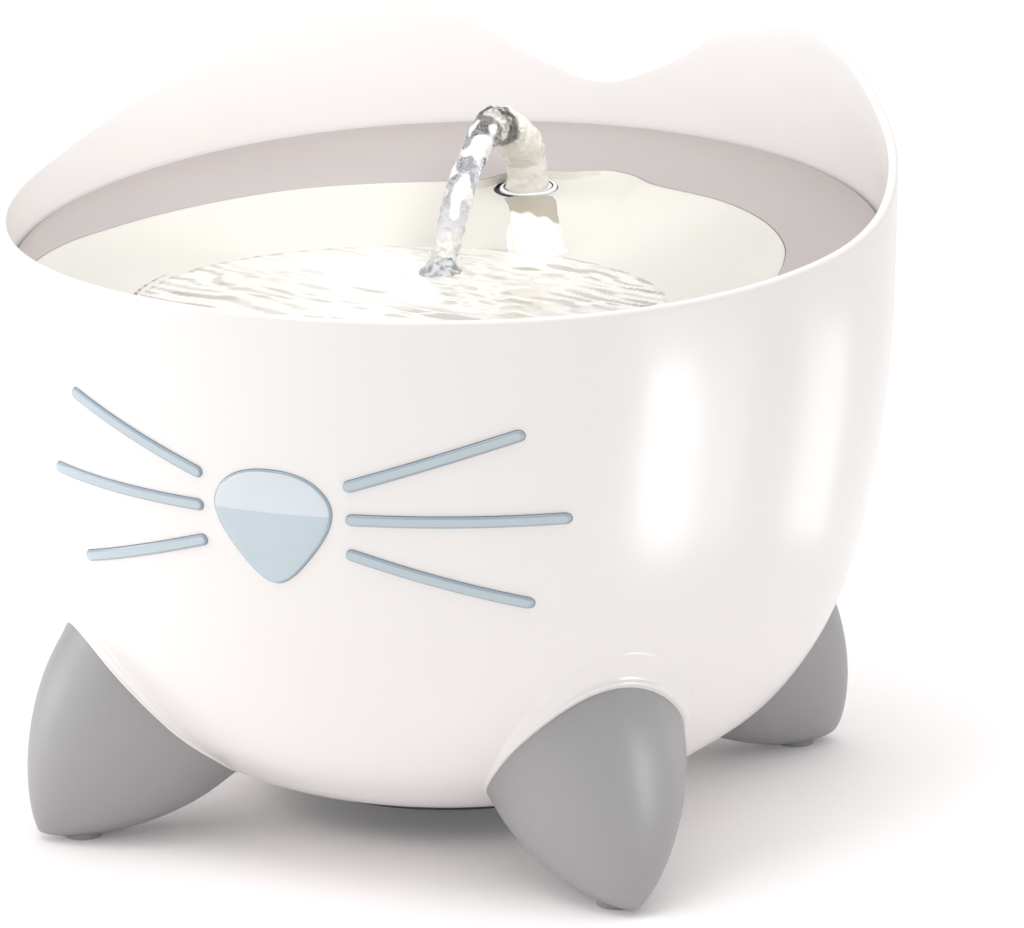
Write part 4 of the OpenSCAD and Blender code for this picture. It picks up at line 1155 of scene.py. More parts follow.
@dataclass
class Shell:
    """The outer shell: a thin wall with a wavy rim, a tank floor, windows and a hood over each foot."""

    body: BodyForm
    foot: FootForm
    windows: Windows
    columns: int = 384
    join_z: float = 150.0
    edge: float = 1.1
    floor_z: float = 24.0
    bay_z: float = 21.4
    fillet: float = 4.0
    hood_columns: int = 128
    hood_steps: int = 10
    lip: float = 0.6
    lip_top: float = 1.3
    lip_edge: float = 0.45
    crease: float = 13.0
    # How far a hood's root spreads over the body: everywhere, and added at its top
    root: float = 0.7
    root_top: float = 6.3
    root_power: float = 1.5
    # How far a hood reaches along the foot: everywhere, and added at its top
    hood: float = 0.1
    hood_top: float = 5.0
    hood_power: int = 3
    # How deep a hood's root is sunk into the body, in two rows
    root_sunk: tuple = (0.9, 0.12)
    # The hood's curve: how far its handles reach along its span, off the body and back from its lip
    handle_span: float = 0.33
    handle_off: float = 0.06
    handle_back: float = 0.3
    # How far the hood's inner face lies within the foot, and how far it runs on into the body
    hood_inside: float = 0.6
    hood_sunk: float = 1.2
    # Where along the foot its crossing with the body is looked for, and in how many halvings
    search: tuple = (-30.0, 15.0)
    halvings: int = 40
    # How finely the floor, the wall's top and the underside are drawn
    floor_shares: tuple = (0, 0.3, 0.6, 0.85)
    bay_shares: tuple = (1, 0.66, 0.33, 0)
    fillet_steps: int = 10
    rise_steps: int = 12
    edge_turn: int = 10
    # How far a row keeps from the corner that it leads to
    clear_of: float = 0.5
    inlet_z: float = 17.5
    inlet_y: float = 79.0
    inlet_r: float = 6.6
    inlet_bore: float = 3.6
    glands: tuple = ((-38, 44), (0, -58))
    gland_r: float = 3.4
    tray_z: float = 152.6
    tray_tilt: float = 5.7
    ledge_w: float = 4.0
    ledge_top: float = 2.6
    ledge_t: float = 3.0
    # The power inlet's sleeve: where it starts, and how its ends are eased; its bore: start, length and edge
    sleeve_y: float = 64.0
    sleeve_edge: float = 0.8
    bore: tuple = (40, 60, 0.1)

    def wall(self) -> Object:
        """Makes the wall and the tank's floor as one closed form.

        Returns:
            The solid.
        """
        body = self.body
        angle = np.linspace(0, 360, self.columns, endpoint=False)
        top = body.rim_at(angle)
        rows: list = []

        def add(radius: Array | float, z: Array | float) -> None:
            """Adds one row round the body."""
            rows.append(body.round(radius, z, angle))

        inner = body.outline(body.wall)
        floor_r = float(body.radius_at(self.floor_z + self.fillet, body.wall))
        for share in self.floor_shares:
            add(share * (floor_r - self.fillet), self.floor_z)
        for turn in np.radians(np.linspace(0, 90, self.fillet_steps)):
            inset, lift = self.fillet * (1 - math.sin(turn)), self.fillet * (1 - math.cos(turn))
            add(floor_r - inset, self.floor_z + lift)
        for r, z in inner:
            if self.floor_z + self.fillet + 2 * self.clear_of < z < self.join_z:
                add(r, z)
        rise = top - self.edge - self.join_z
        upward = [self.join_z + share * rise for share in np.linspace(0, 1, self.rise_steps)]
        for z in upward:
            add(body.radius_at(z, body.wall), z)
        turns = np.radians(np.arange(self.edge_turn, 91, self.edge_turn))
        corner = [(self.edge * (1 - math.cos(turn)), self.edge * (1 - math.sin(turn))) for turn in turns]
        for inset, drop in corner:
            add(body.radius - body.wall + inset, top - drop)
        for inset, drop in corner[::-1]:
            add(body.radius - inset, top - drop)
        for z in upward[::-1]:
            add(body.radius_at(z), z)
        for r, z in body.outline()[::-1]:
            if z < self.join_z - self.clear_of:
                add(r, z)
        for r, z in inner:
            if z < self.bay_z - self.clear_of:
                add(r, z)
        bay_r = float(body.radius_at(self.bay_z, body.wall))
        for share in self.bay_shares:
            add(share * bay_r, self.bay_z)
        return solid("outer_shell_gloss", np.stack(rows))

    def hood_ring(self, angle: float) -> Object:
        """Makes the hood over one foot: it flows out of the body, ends in a rounded lip and wraps the foot.

        Args:
            angle: the foot's angle round the body.

        Returns:
            The solid.
        """
        foot, body = self.foot, self.body
        turn = circle(self.hood_columns)
        high = (1 - np.cos(turn)) / 2
        spread = self.root + self.root_top * np.maximum(0, -np.cos(turn)) ** self.root_power
        along = foot.place(np.array([0, 0, 1.0]), angle) - foot.place(np.zeros(3), angle)

        def on_body(grow: Array | float) -> Array:
            """Finds how far along the foot its surface meets the body's skin.

            Args:
                grow: how far the foot's surface is grown outwards.

            Returns:
                One distance along the foot's axis for each column.
            """
            low, far = (np.full(len(turn), end) for end in self.search)
            for _ in range(self.halvings):
                mid = (low + far) / 2
                inside = body.height_above(foot.place(foot.ring(turn, mid, grow), angle)) < 0
                low, far = np.where(inside, mid, low), np.where(inside, far, mid)
            return (low + far) / 2

        n_root = on_body(spread)
        n_lip = n_root + self.hood + self.hood_top * high**self.hood_power
        root = foot.place(foot.ring(turn, n_root, spread), angle)
        stand = self.lip + self.lip_top * high**self.hood_power
        lip = foot.place(foot.ring(turn, n_lip, stand), angle)
        normal = body.normal_at(root)
        span = lip - root
        length = np.linalg.norm(span, axis=1, keepdims=True)
        handles = (root, root + self.handle_span * span + self.handle_off * length * normal,
                   lip - self.handle_back * length * along, lip)
        rows = [root - sunk * normal for sunk in self.root_sunk]
        for t in np.linspace(0, 1, self.hood_steps + 1)[1:]:
            weights = ((1 - t) ** 3, 3 * t * (1 - t) ** 2, 3 * t * t * (1 - t), t**3)
            rows.append(sum(w * p for w, p in zip(weights, handles)))
        for bend in np.radians(np.arange(11.25, 91, 11.25)):
            inset, on = self.lip_edge * (1 - math.cos(bend)), self.lip_edge * math.sin(bend)
            rows.append(foot.place(foot.ring(turn, n_lip + on, stand - inset), angle))
        inside = -self.hood_inside
        for n in (n_lip + self.lip_edge, on_body(inside) - self.hood_sunk):
            rows.append(foot.place(foot.ring(turn, n, inside), angle))
        return solid("hood", np.stack(rows), ring=True)

    def ledge(self) -> Object:
        """Makes the tilted ledge inside the wall that the tray rests on.

        Returns:
            The solid.
        """
        body = self.body
        angle = np.linspace(0, 360, self.columns, endpoint=False)
        outer, inner = body.radius - body.wall / 2, body.radius - body.wall - self.ledge_w
        top, bottom = self.ledge_top, self.ledge_top + self.ledge_t
        rows = []
        for radius, drop in ((outer, top), (inner, top), (inner, bottom), (outer, bottom)):
            flat = body.round(radius, 0.0, angle)
            flat[:, 2] = self.tray_z - drop + math.tan(math.radians(self.tray_tilt)) * flat[:, 1]
            rows.append(flat)
        return solid("ledge", np.stack(rows), ring=True)

    def rod(self, y: float, length: float, radius: float, edge: float) -> Object:
        """Makes a rod with bevelled ends along Y about the power inlet's axis.

        Args:
            y: where it starts.
            length: its length.
            radius: its radius.
            edge: the width of its bevels.

        Returns:
            The solid.
        """
        outline = [(0, 0), (radius - edge, 0), (radius, edge), (radius, length - edge),
                   (radius - edge, length), (0, length)]
        made = turned("rod", outline, (0, 0), columns=64)
        p = np.array([v.co for v in made.data.vertices])
        moved = np.column_stack([p[:, 0], y * MM + p[:, 2], self.inlet_z * MM - p[:, 1]])
        made.data.vertices.foreach_set("co", moved.astype(np.float32).ravel())
        return settle(made)

    def build(self) -> None:
        """Makes the shell and dresses it."""
        made = self.wall()
        side = self.foot.angle
        hoods = [self.hood_ring(a) for a in (-side, side, side - 180, 180 - side)]
        sleeve = self.rod(self.sleeve_y, self.inlet_y - self.sleeve_y, self.inlet_r, self.sleeve_edge)
        made = cut(made, together("added", [*hoods, self.ledge(), sleeve]), Cut.ADD)
        holes = [self.windows.cutter(o) for o in self.windows.outlines().values()]
        start, length, edge = self.bore
        holes.append(self.rod(start, length, self.inlet_bore, edge))
        for x, y in self.glands:
            low, high = self.bay_z - 1, self.floor_z + 1
            outline = [(0, low), (self.gland_r, low), (self.gland_r, high), (0, high)]
            holes.append(turned("gland_hole", outline, (x, y), columns=48))
        made = cut(made, together("taken", holes), Cut.TAKE, sharp=self.crease)
        dress(made, SHELL)
        show(made, "tank", ["outer_shell"])


@dataclass
class Feet:
    """The four cone feet."""

    body: BodyForm
    foot: FootForm
    columns: int = 144
    steps: int = 56
    start: float = -14.0
    screw_reach: float = 84.0
    screw_r: float = 3.2
    screw_top: float = 9.8
    pad_reach: float = 105.5
    pad_r: float = 5.15
    pad_top: float = 2.6
    clearance: float = 0.05

    def build(self) -> None:
        """Makes the feet and dresses them."""
        foot = self.foot
        turn = circle(self.columns)
        share = np.sin(np.linspace(0, math.pi / 2, self.steps))
        levels = np.concatenate([np.linspace(self.start, -1, 6), share * foot.length])
        names = {"front_left": -foot.angle, "front_right": foot.angle, "rear_left": foot.angle - 180,
                 "rear_right": 180 - foot.angle}
        for name, angle in names.items():
            rings = [foot.ring(turn, np.full_like(turn, n), 0.0) for n in levels]
            rings = [np.tile((0.0, 0.0, self.start), (len(turn), 1)), *rings]
            made = solid("foot_" + name + "_satin", foot.place(np.stack(rings), angle))
            made = cut(made, self.body.core(self.clearance), Cut.TAKE)
            holes = []
            for reach, radius, high in ((self.screw_reach, self.screw_r, self.screw_top),
                                        (self.pad_reach, self.pad_r, self.pad_top)):
                centre = (reach * math.sin(math.radians(angle)), -reach * math.cos(math.radians(angle)))
                outline = [(0, -2), (radius, -2), (radius, high), (0, high)]
                holes.append(turned("foot_hole", outline, centre, columns=48))
            made = cut(made, together("foot_holes", holes), Cut.TAKE)
            dress(made, FOOT)
            show(made, "tank", ["foot_" + name])


# ---------- Tray ----------


@dataclass
class Dish:
    """The drinking dish: a round bowl with a slope up to a tilted edge, and a lobe round the outlet."""

    centre: tuple = (2.0, -36.0)
    # The dish's edge, from its right side anticlockwise: angle, distance from its centre
    stations: tuple = ((0, 98.5), (18, 98), (26, 100.3), (34, 103.5), (46, 106.6), (58, 107.8), (68, 106.6),
                       (73, 107.4), (77, 111), (81, 112.4), (84, 110.4), (87, 107.6), (91, 106.9),
                       (94, 105.2), (96.5, 100.2), (98.5, 96), (102, 94), (108, 93.2), (118, 93.9),
                       (132, 95.9), (147, 97.4), (163, 100.4), (178, 104.2), (205, 103.6), (230, 102),
                       (270, 102), (310, 101), (340, 99), (360, 98.5))
    tray_r: float = 116.4
    lip_r: float = 112.5
    support_r: float = 113.0
    tray_z: float = 152.6
    tray_tilt: float = 5.7
    step: float = 0.15
    deck_t: float = 2.4
    flange: float = 5.0
    thick: float = 2.2
    edge: float = 1.5
    pool_r: float = 69.5
    pool_z: float = 144.5
    pool_depth: float = 7.0
    flat_r: float = 50.0
    bend: float = 2.5
    front_z: float = 146.6
    columns: int = 480
    nozzle_y: float = 60.0
    nozzle_seat: float = 154.8
    boss_r: float = 10.0
    boss_h: float = 8.0
    stem_r: float = 6.2
    stem_h: float = 6.0
    spigot_r: float = 6.0
    spigot_low: float = 138.0
    bore_r: float = 4.4
    # How the dish rises to the outlet: the flat top's radius, where it ends, and its height
    mound: tuple = (9.8, 30.0, 156.3)
    # The seal's pocket in the boss: its place across the outlet's axis, and its radius
    pocket: tuple = (-0.7, 9.0)
    pocket_h: float = 20.0
    # The bowl's rows under the pool, top and underside: distance from the dish's centre
    bowl_rows: tuple = (0, 15, 30, 40, 44, 47, 49, 51, 53, 56, 60, 65, 69.5)
    under_rows: tuple = (69.5, 60, 51, 44, 0)
    slope_rows: int = 40
    # The rounded edge: how far within the outline, how far down
    edge_rows: tuple = ((0.9, 0.0), (0.5, 0.0), (0.2, 0.1), (0.06, 0.25), (0, 0.5))
    outline_steps: int = 12
    # The flange under the deck: how far it stays below the edge, how thick it is, how low it may go
    flange_drop: float = 0.8
    flange_t: float = 0.4
    front_drop: float = 4.0

    def raised(self, xy: Array, z: Array) -> Array:
        """Gives the dish's height over points, raised smoothly to the outlet.

        Args:
            xy: points as seen from above.
            z: the dish's height there before.

        Returns:
            The raised heights.
        """
        near, far, top = self.mound
        away = np.hypot(xy[:, 0], xy[:, 1] - self.nozzle_y)
        share = np.clip((far - away) / (far - near), 0, 1)
        share = share * share * (3 - 2 * share)
        level = top + math.tan(math.radians(self.tray_tilt)) * (xy[:, 1] - self.nozzle_y)
        return z + share * (level - z)

    def directions(self) -> Array:
        """Gives the unit directions of the columns round the dish's centre."""
        return ways(self.columns)

    def reach(self, bound: Sequence[float]) -> Array:
        """Gives how far each column runs from the centre to a circle's far side, or zero if it misses it.

        Args:
            bound: the circle's x, y and radius.

        Returns:
            One distance for each column.
        """
        away = self.directions()
        offset = np.array(self.centre) - np.array(bound[:2])
        b = -away @ offset
        c = offset @ offset - bound[2] ** 2
        square = b * b - c
        return np.where(square > 0, b + np.sqrt(np.maximum(square, 0)), 0.0)

    def outline(self) -> Array:
        """Gives the dish's edge as a distance from its centre.

        Returns:
            One distance for each column.
        """
        p = flowing(self.stations, self.outline_steps)
        turn = np.linspace(0, 360, self.columns, endpoint=False)
        return np.minimum(np.interp(turn, p[:, 0], p[:, 1]), self.reach((0, 0, self.tray_r)))

    def plane(self, xy: Array) -> Array:
        """Gives the deck's height over points."""
        return self.tray_z + math.tan(math.radians(self.tray_tilt)) * xy[:, 1]

    def bowl(self, radius: Array | float) -> Array:
        """Gives the height of the bowl under the pool at a distance from its centre.

        Args:
            radius: the distance from the centre.

        Returns:
            The height.
        """
        slope = self.pool_depth / (self.pool_r - self.flat_r)
        climb = self.bend * np.logaddexp(0, (np.asarray(radius) - self.flat_r) / self.bend)
        return self.pool_z - self.pool_depth + slope * climb

    def height_at(self, xy: Array) -> Array:
        """Gives the height of the dish's slope over points between the pool and the deck.

        Args:
            xy: points as seen from above.

        Returns:
            Their heights.
        """
        offset = xy - np.array(self.centre)
        away = np.hypot(offset[:, 0], offset[:, 1])
        turn = np.arctan2(offset[:, 1], offset[:, 0]) % (2 * math.pi)
        outer = self.outline()
        angle = circle(self.columns)
        inner = np.interp(turn, angle, np.minimum(outer - self.edge, self.reach((0, 0, self.lip_r))))
        rim = np.interp(turn, angle, self.rim_z(outer))
        share = np.clip((away - self.pool_r) / (inner - self.pool_r), 0, 1)
        slope = self.raised(xy, self.pool_z + share * (rim - self.pool_z))
        return np.where(away < self.pool_r, self.bowl(away), slope)

    def rim_z(self, outer: Array) -> Array:
        """Gives the height of the dish's edge at each column."""
        flat = np.array(self.centre) + self.directions() * outer[:, None]
        return np.maximum(self.plane(flat) - self.step, self.front_z)

    def surface(self) -> Object:
        """Makes the dish as one closed form.

        Returns:
            The solid.
        """
        away, outer = self.directions(), self.outline()
        inner = np.minimum(outer - self.edge, self.reach((0, 0, self.lip_r)))
        support = np.minimum(outer + self.flange, self.reach((0, 0, self.support_r)))
        rows: list = []

        def add(radius: Array | float, z: Array | float) -> Array:
            """Adds one row round the dish.

            Args:
                radius: the row's distances from the dish's centre.
                z: its heights.

            Returns:
                Its points as seen from above.
            """
            xy = np.array(self.centre) + away * np.broadcast_to(radius, outer.shape)[:, None]
            rows.append(np.column_stack([xy, np.broadcast_to(z, outer.shape)]))
            return xy

        rim_z = self.rim_z(outer)
        for radius in self.bowl_rows:
            add(radius, self.bowl(radius))
        shares = np.linspace(0, 1, self.slope_rows)[1:]
        for share in shares:
            xy = add(self.pool_r + share * (inner - self.pool_r), self.pool_z + share * (rim_z - self.pool_z))
            rows[-1][:, 2] = self.raised(xy, rows[-1][:, 2])
        for inset, drop in self.edge_rows:
            add(np.maximum(outer - inset, inner + 0.1), rim_z - drop)
        edge = np.array(self.centre) + away * outer[:, None]
        low = np.maximum(self.plane(edge) - self.deck_t, self.front_z - self.front_drop)
        low = np.minimum(low, rim_z - self.flange_drop)
        for radius, z in ((outer, low), (support, low), (support, low - self.flange_t)):
            add(radius, z)
        for share in shares[::-4]:
            under = self.pool_z + share * (rim_z - self.pool_z) - self.thick
            add(self.pool_r + share * (np.minimum(inner, support) - self.pool_r), under)
        for radius in self.under_rows:
            add(radius, self.bowl(radius) - self.thick)
        return solid("drinking_dish_cream", np.stack(rows))

    def post(self, points: Sequence) -> Object:
        """Makes a turned form about the outlet's axis."""
        return turned("post", points, (0, self.nozzle_y))

    def build(self) -> None:
        """Makes the dish with its outlet boss and spigot, and dresses it."""
        seat, low = self.nozzle_seat, self.spigot_low
        shoulder = seat - self.stem_h
        made = self.surface()
        for radius, bottom, top in ((self.boss_r, seat - self.boss_h, seat),
                                    (self.spigot_r, low, shoulder + 0.5)):
            made = cut(made, self.post([(0, bottom), (radius, bottom), (radius, top), (0, top)]), Cut.ADD)
        bore = [(0, low - 2), (self.bore_r, low - 2), (self.bore_r, shoulder), (self.stem_r, shoulder),
                (self.stem_r, seat + 1), (0, seat + 1)]
        made = cut(made, self.post(bore), Cut.TAKE)
        shift, radius = self.pocket
        top = seat + self.pocket_h
        section = [(0, seat), (radius, seat), (radius, top), (0, top)]
        made = cut(made, turned("pocket", section, (shift, self.nozzle_y)), Cut.TAKE)
        dress(made, DISH)
        show(made, "tray", ["drinking_dish"])


@dataclass
class Deck:
    """The flat deck round the dish: a tilted disc with eased edges, opened for the dish."""

    dish: Dish
    gap: float = 0.06
    ease: float = 0.2
    columns: int = 360
    # The opening's cutter: how far inwards it reaches, how far past the deck's edge, and how deep and high
    inwards: float = 400.0
    past: float = 6.0
    deep: float = 20.0

    def build(self) -> None:
        """Makes the deck and dresses it."""
        dish, ease = self.dish, self.ease
        radius, thick = dish.tray_r, dish.deck_t
        outline = [(0, -thick), (radius - ease, -thick), (radius, ease - thick), (radius, -ease),
                   (radius - ease, 0), (0, 0)]
        made = turned("tray_deck_matt", outline, (0, 0), columns=self.columns)
        self.tilt(made)
        away, outer = dish.directions(), dish.outline() + self.gap
        outer = np.where(dish.outline() > dish.reach((0, 0, dish.tray_r)) - 0.01, outer + self.past, outer)
        rows = []
        for grow, z in ((-self.inwards, -self.deep), (0, -self.deep), (0, -ease), (ease, 0.02),
                        (ease, self.deep), (-self.inwards, self.deep)):
            reach = np.maximum(outer + grow, 0)
            xy = np.array(dish.centre) + away * reach[:, None]
            rows.append(np.column_stack([xy, np.full(len(xy), float(z))]))
        hole = solid("dish_opening", np.stack(rows))
        self.tilt(hole)
        made = cut(made, hole, Cut.TAKE)
        dress(made, DECK)
        show(made, "tray", ["tray_deck"])

    def tilt(self, obj: Object) -> None:
        """Lays a level form on the deck's plane.

        Args:
            obj: the level form.
        """
        p = points_of(obj)
        p[:, 2] += self.dish.plane(p)
        move_points(obj, p)


@dataclass
class Nozzle:
    """The outlet's flanged ring, with a bright lip, a fine groove with painted shade in it, and a sleeve, and
    the seal under it.
    """

    tilt: float = 5.7
    y: float = 60.0
    top: float = 157.0
    seat: float = 154.8
    flange_r: float = 8.0
    stem_r: float = 6.2
    stem_low: float = 148.9
    bore_r: float = 5.2
    edge: float = 0.45
    groove_r: float = 6.75
    groove_w: float = 0.22
    groove_d: float = 0.4
    lip_turns: tuple = (0, 20, 40, 60, 80, 90)
    lip_step: float = 0.1
    lip_w: float = 0.3
    flange_bevel: float = 0.2
    flange_low: float = 1.0
    columns: int = 128
    seal_r: float = 8.9
    seal_shift: float = -0.7
    # The seal's underside and top above its seat
    seal: tuple = (0.02, 0.95)
    # How far below the seat the ring starts to lean
    lean_from: float = 1.0

    def build(self) -> None:
        """Makes the ring and dresses it."""
        under, bevel, top = self.seat + self.flange_low, self.flange_bevel, self.top
        outline = [(self.bore_r, self.stem_low), (self.stem_r, self.stem_low), (self.stem_r, under),
                   (self.flange_r - bevel, under), (self.flange_r, under + bevel)]
        outline += [(self.flange_r - self.edge * (1 - math.cos(a)), top - self.edge * (1 - math.sin(a)))
                    for a in np.radians(self.lip_turns)]
        outer, inner = self.groove_r + self.groove_w, self.groove_r - self.groove_w
        outline += [(outer, top), (outer, top - self.groove_d), (inner, top - self.groove_d),
                    (inner, top - self.lip_step), (self.bore_r + self.lip_w, top - self.lip_step),
                    (self.bore_r, top - self.groove_d)]
        made = turned("nozzle_ring_bright", outline, (0, self.y), columns=self.columns)
        dress(made, RING, BASE_AND_GROOVE_SHADE)
        at = np.array([f.center for f in made.data.polygons]) / MM
        self.lean(made)
        reach = np.hypot(at[:, 0], at[:, 1] - self.y)
        in_groove = np.abs(reach - self.groove_r) < self.groove_w + 0.01
        # Painted shade: the groove's walls and floor take the dark finish
        groove_shade = in_groove & (at[:, 2] > top - self.groove_d - 0.05)
        made.data.polygons.foreach_set("material_index", groove_shade.astype(np.int32))
        show(made, "tray", ["nozzle_ring"])
        # A real seal; its dark rubber, seen in the pocket's wider gap on the left, is also painted shade
        # there
        low, high = (self.seat + up for up in self.seal)
        section = [(self.stem_r, low), (self.seal_r, low), (self.seal_r, high), (self.stem_r, high)]
        seal = turned("nozzle_gasket_round", section, (self.seal_shift, self.y))
        dress(seal, RUBBER)
        show(seal, "tray", ["nozzle_gasket"])

    def lean(self, obj: Object) -> None:
        """Leans the flange with the tray, from a little below its seat and in full at its top.

        Args:
            obj: the upright ring.
        """
        p = points_of(obj)
        share = np.clip((p[:, 2] - self.seat + self.lean_from) / (self.top - self.seat), 0, 1)
        p[:, 2] += share * math.tan(math.radians(self.tilt)) * (p[:, 1] - self.y)
        move_points(obj, p)


@dataclass
class Fountain:
    """The running water: a pool in the dish, a jet that arcs from the outlet into it, and a few drops."""

    dish: Dish
    landing: tuple = (-4.0, 9.0)
    # The jet's stations: distance from the axis, backwards, height, half width
    stations: tuple = ((60, 150, 5.1), (60, 156, 5.9), (59.4, 161.6, 5.8), (57.8, 167, 5.95),
                       (51.5, 172.6, 6.0), (44, 176.5, 5.5), (36.5, 177.6, 5.0), (29.5, 174.8, 4.1),
                       (24.2, 170.8, 3.8), (20.5, 167.2, 3.9), (17.5, 163.4, 3.9), (14.4, 158.8, 4.05),
                       (11.7, 154, 3.8), (9.8, 150.3, 3.4), (7.8, 147, 3.4), (6.0, 143.5, 4.0))
    pool_rings: int = 96
    pool_columns: int = 320
    ring_pitch: float = 8.5
    ring_height: float = 0.2
    ring_reach: float = 34.0
    ring_start: float = 6.0
    # The rings' bends: how many times round, how far and from where, both in radians
    ring_bends: tuple = ((3, 0.8, 0.7), (5, 0.5, 0.0))
    # The chop: its shortest and longest pitch, its height, its way's turn from straight back in degrees, how
    # far that strays in radians, and how many waves it has
    chop: tuple = (4.5, 12.0)
    chop_height: float = 0.085
    chop_turn: float = 21.0
    chop_spread: float = 0.3
    chop_count: int = 20
    # How the chop's lines wander: the pitch, stretch and two shifts of the noise, and how far it bends each
    # wave by itself and all of them alike
    wander_pitch: float = 13.0
    wander_stretch: tuple = (0.55, 1)
    wander_shifts: tuple = (0.0, 40.0)
    wander: tuple = (3.6, 3.0)
    # The patches in which the chop swells: their size across and along, and how much more there is than rest
    patches: tuple = (13, 8, 0.25)
    # The waves' share at the jet, what the open pool adds, and over what distance
    open_pool: tuple = (0.6, 0.7, 60)
    # The pool's edge: how far it runs into the dish, and where and how far its waves calm down towards it
    pool_over: float = 1.2
    calm_width: float = 8.0
    calm_least: float = 0.25
    bed_rows: tuple = (71.5, 66, 60, 53, 49, 44, 0)
    sunk: float = 0.35
    # The way in which a wave's rise counts as its shaded side, for the painted shade, and the ways to the
    # pool's right and its back
    painted_shade_way: tuple = (0.36, 0.93)
    right: tuple = (0.93, 0.36)
    back: tuple = (-0.36, 0.93)
    slope_step: float = 0.5
    # Where the pool's painted shade grows darker at its sides and its front: from what distance, over what
    # width
    beside: tuple = (42, 26)
    near: tuple = (30, 30)
    # The slope at which a wave's side starts to take painted shade, the width of that, and what sides and
    # front add
    steep: tuple = (0.03, 0.03)
    steep_beside: float = 0.025
    steep_near: float = 0.015
    # The streaks' breaks: the stretch, pitch and strength of the noise, its level, and what the sides add
    breaks_stretch: tuple = (0.5, 1, 1)
    breaks: tuple = (11.0, 1.4, 0.6, 0.5)
    # The painted shade line along the pool's edge: its share, how far inside it lies, its width
    edge_shade_line: tuple = (0.45, 0.6, 1.5)
    # The jet wrinkles at its crest, with a middle and a width along it and above a height
    crest: tuple = (42, 7, 160)
    # It also wrinkles at its foot, below a height and over a height from there, in front of a place
    foot: tuple = (160, 14, 40)
    least_wrinkle: float = 0.02
    jet_steps: int = 20
    # Milky with air behind its crest: from where, over what width, and how far and finely that strays
    air: tuple = (39.5, 4, 3, 5.0)
    # Milky at its foot: below what height, over what height, in front of where, and its share
    milky_foot: tuple = (164, 12, 40, 0.75)
    # Milky patches, partly air in the water and partly painted highlight: the noise's level and the width of
    # its rise, in front of where, and their share
    white: tuple = (0.04, 0.12, 39, 0.8)
    # The noise of those patches: its pitch, its shift and its stretch
    white_noise: tuple = (3.4, 8.0)
    white_stretch: tuple = (1, 1, 0.4)
    # The painted shade in the dark folds at the crest: their middle and width along, from what height and
    # over what height
    fold_place: tuple = (38.5, 4.6)
    fold_height: tuple = (171, 3)
    # The noise of the folds' painted shade: its level and the width of its rise
    fold_noise: tuple = (0.04, 0.14)
    fold_shade_share: float = 0.85
    # The splash: its middle from the landing, its rows of radius and height, and how ragged it is
    splash_shift: tuple = (1.6, -7.5)
    splash_rows: tuple = ((0, 1.8), (0.9, 1.9), (1.8, 2.0), (2.6, 2.3), (3.3, 2.2), (3.9, 1.7), (4.5, 1.0),
                          (5.4, 0.4), (6.6, -0.3), (6.2, -1.6), (0, -1.6))
    splash_columns: int = 144
    splash_wide: float = 0.28
    splash_tall: float = 0.7
    splash_rough: float = 0.45
    # The film: the ways down and across the slope, its start, length, half widths, drift and thickness
    way: tuple = ((0.364, -0.931), (0.931, 0.364))
    film_from: float = 8.3
    film_l: float = 25.0
    film_w: tuple = (6.4, 7.8)
    film_shift: float = 3.2
    film_t: float = 0.5
    film_shade: float = 0.8
    film_grid: tuple = (41, 49)
    # Where the film's painted shade, its darker upper part, ends along it, how that leans and waves across
    # it, and its blur
    film_dark: tuple = (0.42, 0.09, 0.02, 9, 0.03)
    # The film's faint streak of painted shade: its share, its middle and width across, and where it sets in
    # along it
    faint_shade: tuple = (0.14, 0.1, 0.3)
    faint_from: tuple = (0.5, 0.1)
    # The painted shade rims at the film's sides: their share, where they start and end across it, and their
    # blur
    rim: tuple = (0.3, 0.93, 1.1, 0.05)
    # The drops: place and radius
    drops: tuple = (((-2.9, 12.5, 157.5), 0.62), ((-2.4, 12.0, 149.5), 0.35), ((-3.8, 17.8, 171.5), 0.3),
                    ((-6.9, 4.0, 149.0), 0.45), ((-1.2, 4.2, 148.4), 0.5), ((-7.5, 9.0, 147.6), 0.4),
                    ((0.4, 8.6, 147.2), 0.35), ((-5.2, 2.6, 147.0), 0.3), ((-2.2, 15.0, 147.3), 0.4))
    seed: int = 11

    def ripple(self, xy: Array) -> Array:
        """Gives the pool's waves: rings from where the jet lands, and a chop from all sides.

        Args:
            xy: points as seen from above, in the last axis.

        Returns:
            The waves' height over each point.
        """
        x, y = xy[..., 0], xy[..., 1]
        away = np.hypot(x - self.landing[0], y - self.landing[1])
        turn = np.arctan2(y - self.landing[1], x - self.landing[0])
        phase = 2 * math.pi * away / self.ring_pitch
        for times, far, start in self.ring_bends:
            phase = phase + far * np.sin(times * turn + start)
        height = self.ring_height * np.exp(-away / self.ring_reach) * np.cos(phase)
        height = height * (1 - np.exp(-away / self.ring_start))
        flat = xy.reshape(-1, 2) * self.wander_stretch
        level = np.column_stack([flat, np.zeros(len(flat))])
        stray = [cloud(level, self.wander_pitch, shift).reshape(away.shape) for shift in self.wander_shifts]
        own, shared = self.wander
        wide, long, more = self.patches
        draw = np.random.default_rng(self.seed)
        for _ in range(self.chop_count):
            way = math.pi / 2 - math.radians(self.chop_turn)
            way += draw.uniform(-self.chop_spread, self.chop_spread)
            pitch, start = draw.uniform(*self.chop), draw.uniform(0, 2 * math.pi)
            k = 2 * math.pi / pitch
            bend = own * (math.cos(start) * stray[0] + math.sin(start) * stray[1]) + shared * stray[0]
            wave = np.sin(k * (x * math.cos(way) + y * math.sin(way)) + start + bend)
            swell = np.clip(np.sin(x / wide + 3 * start) * np.sin(y / long + 5 * start) + more, 0, 1)
            height += self.chop_height * (pitch / self.chop[1]) * swell * wave
        least, added, reach = self.open_pool
        return height * (least + added * np.clip(away / reach, 0, 1))

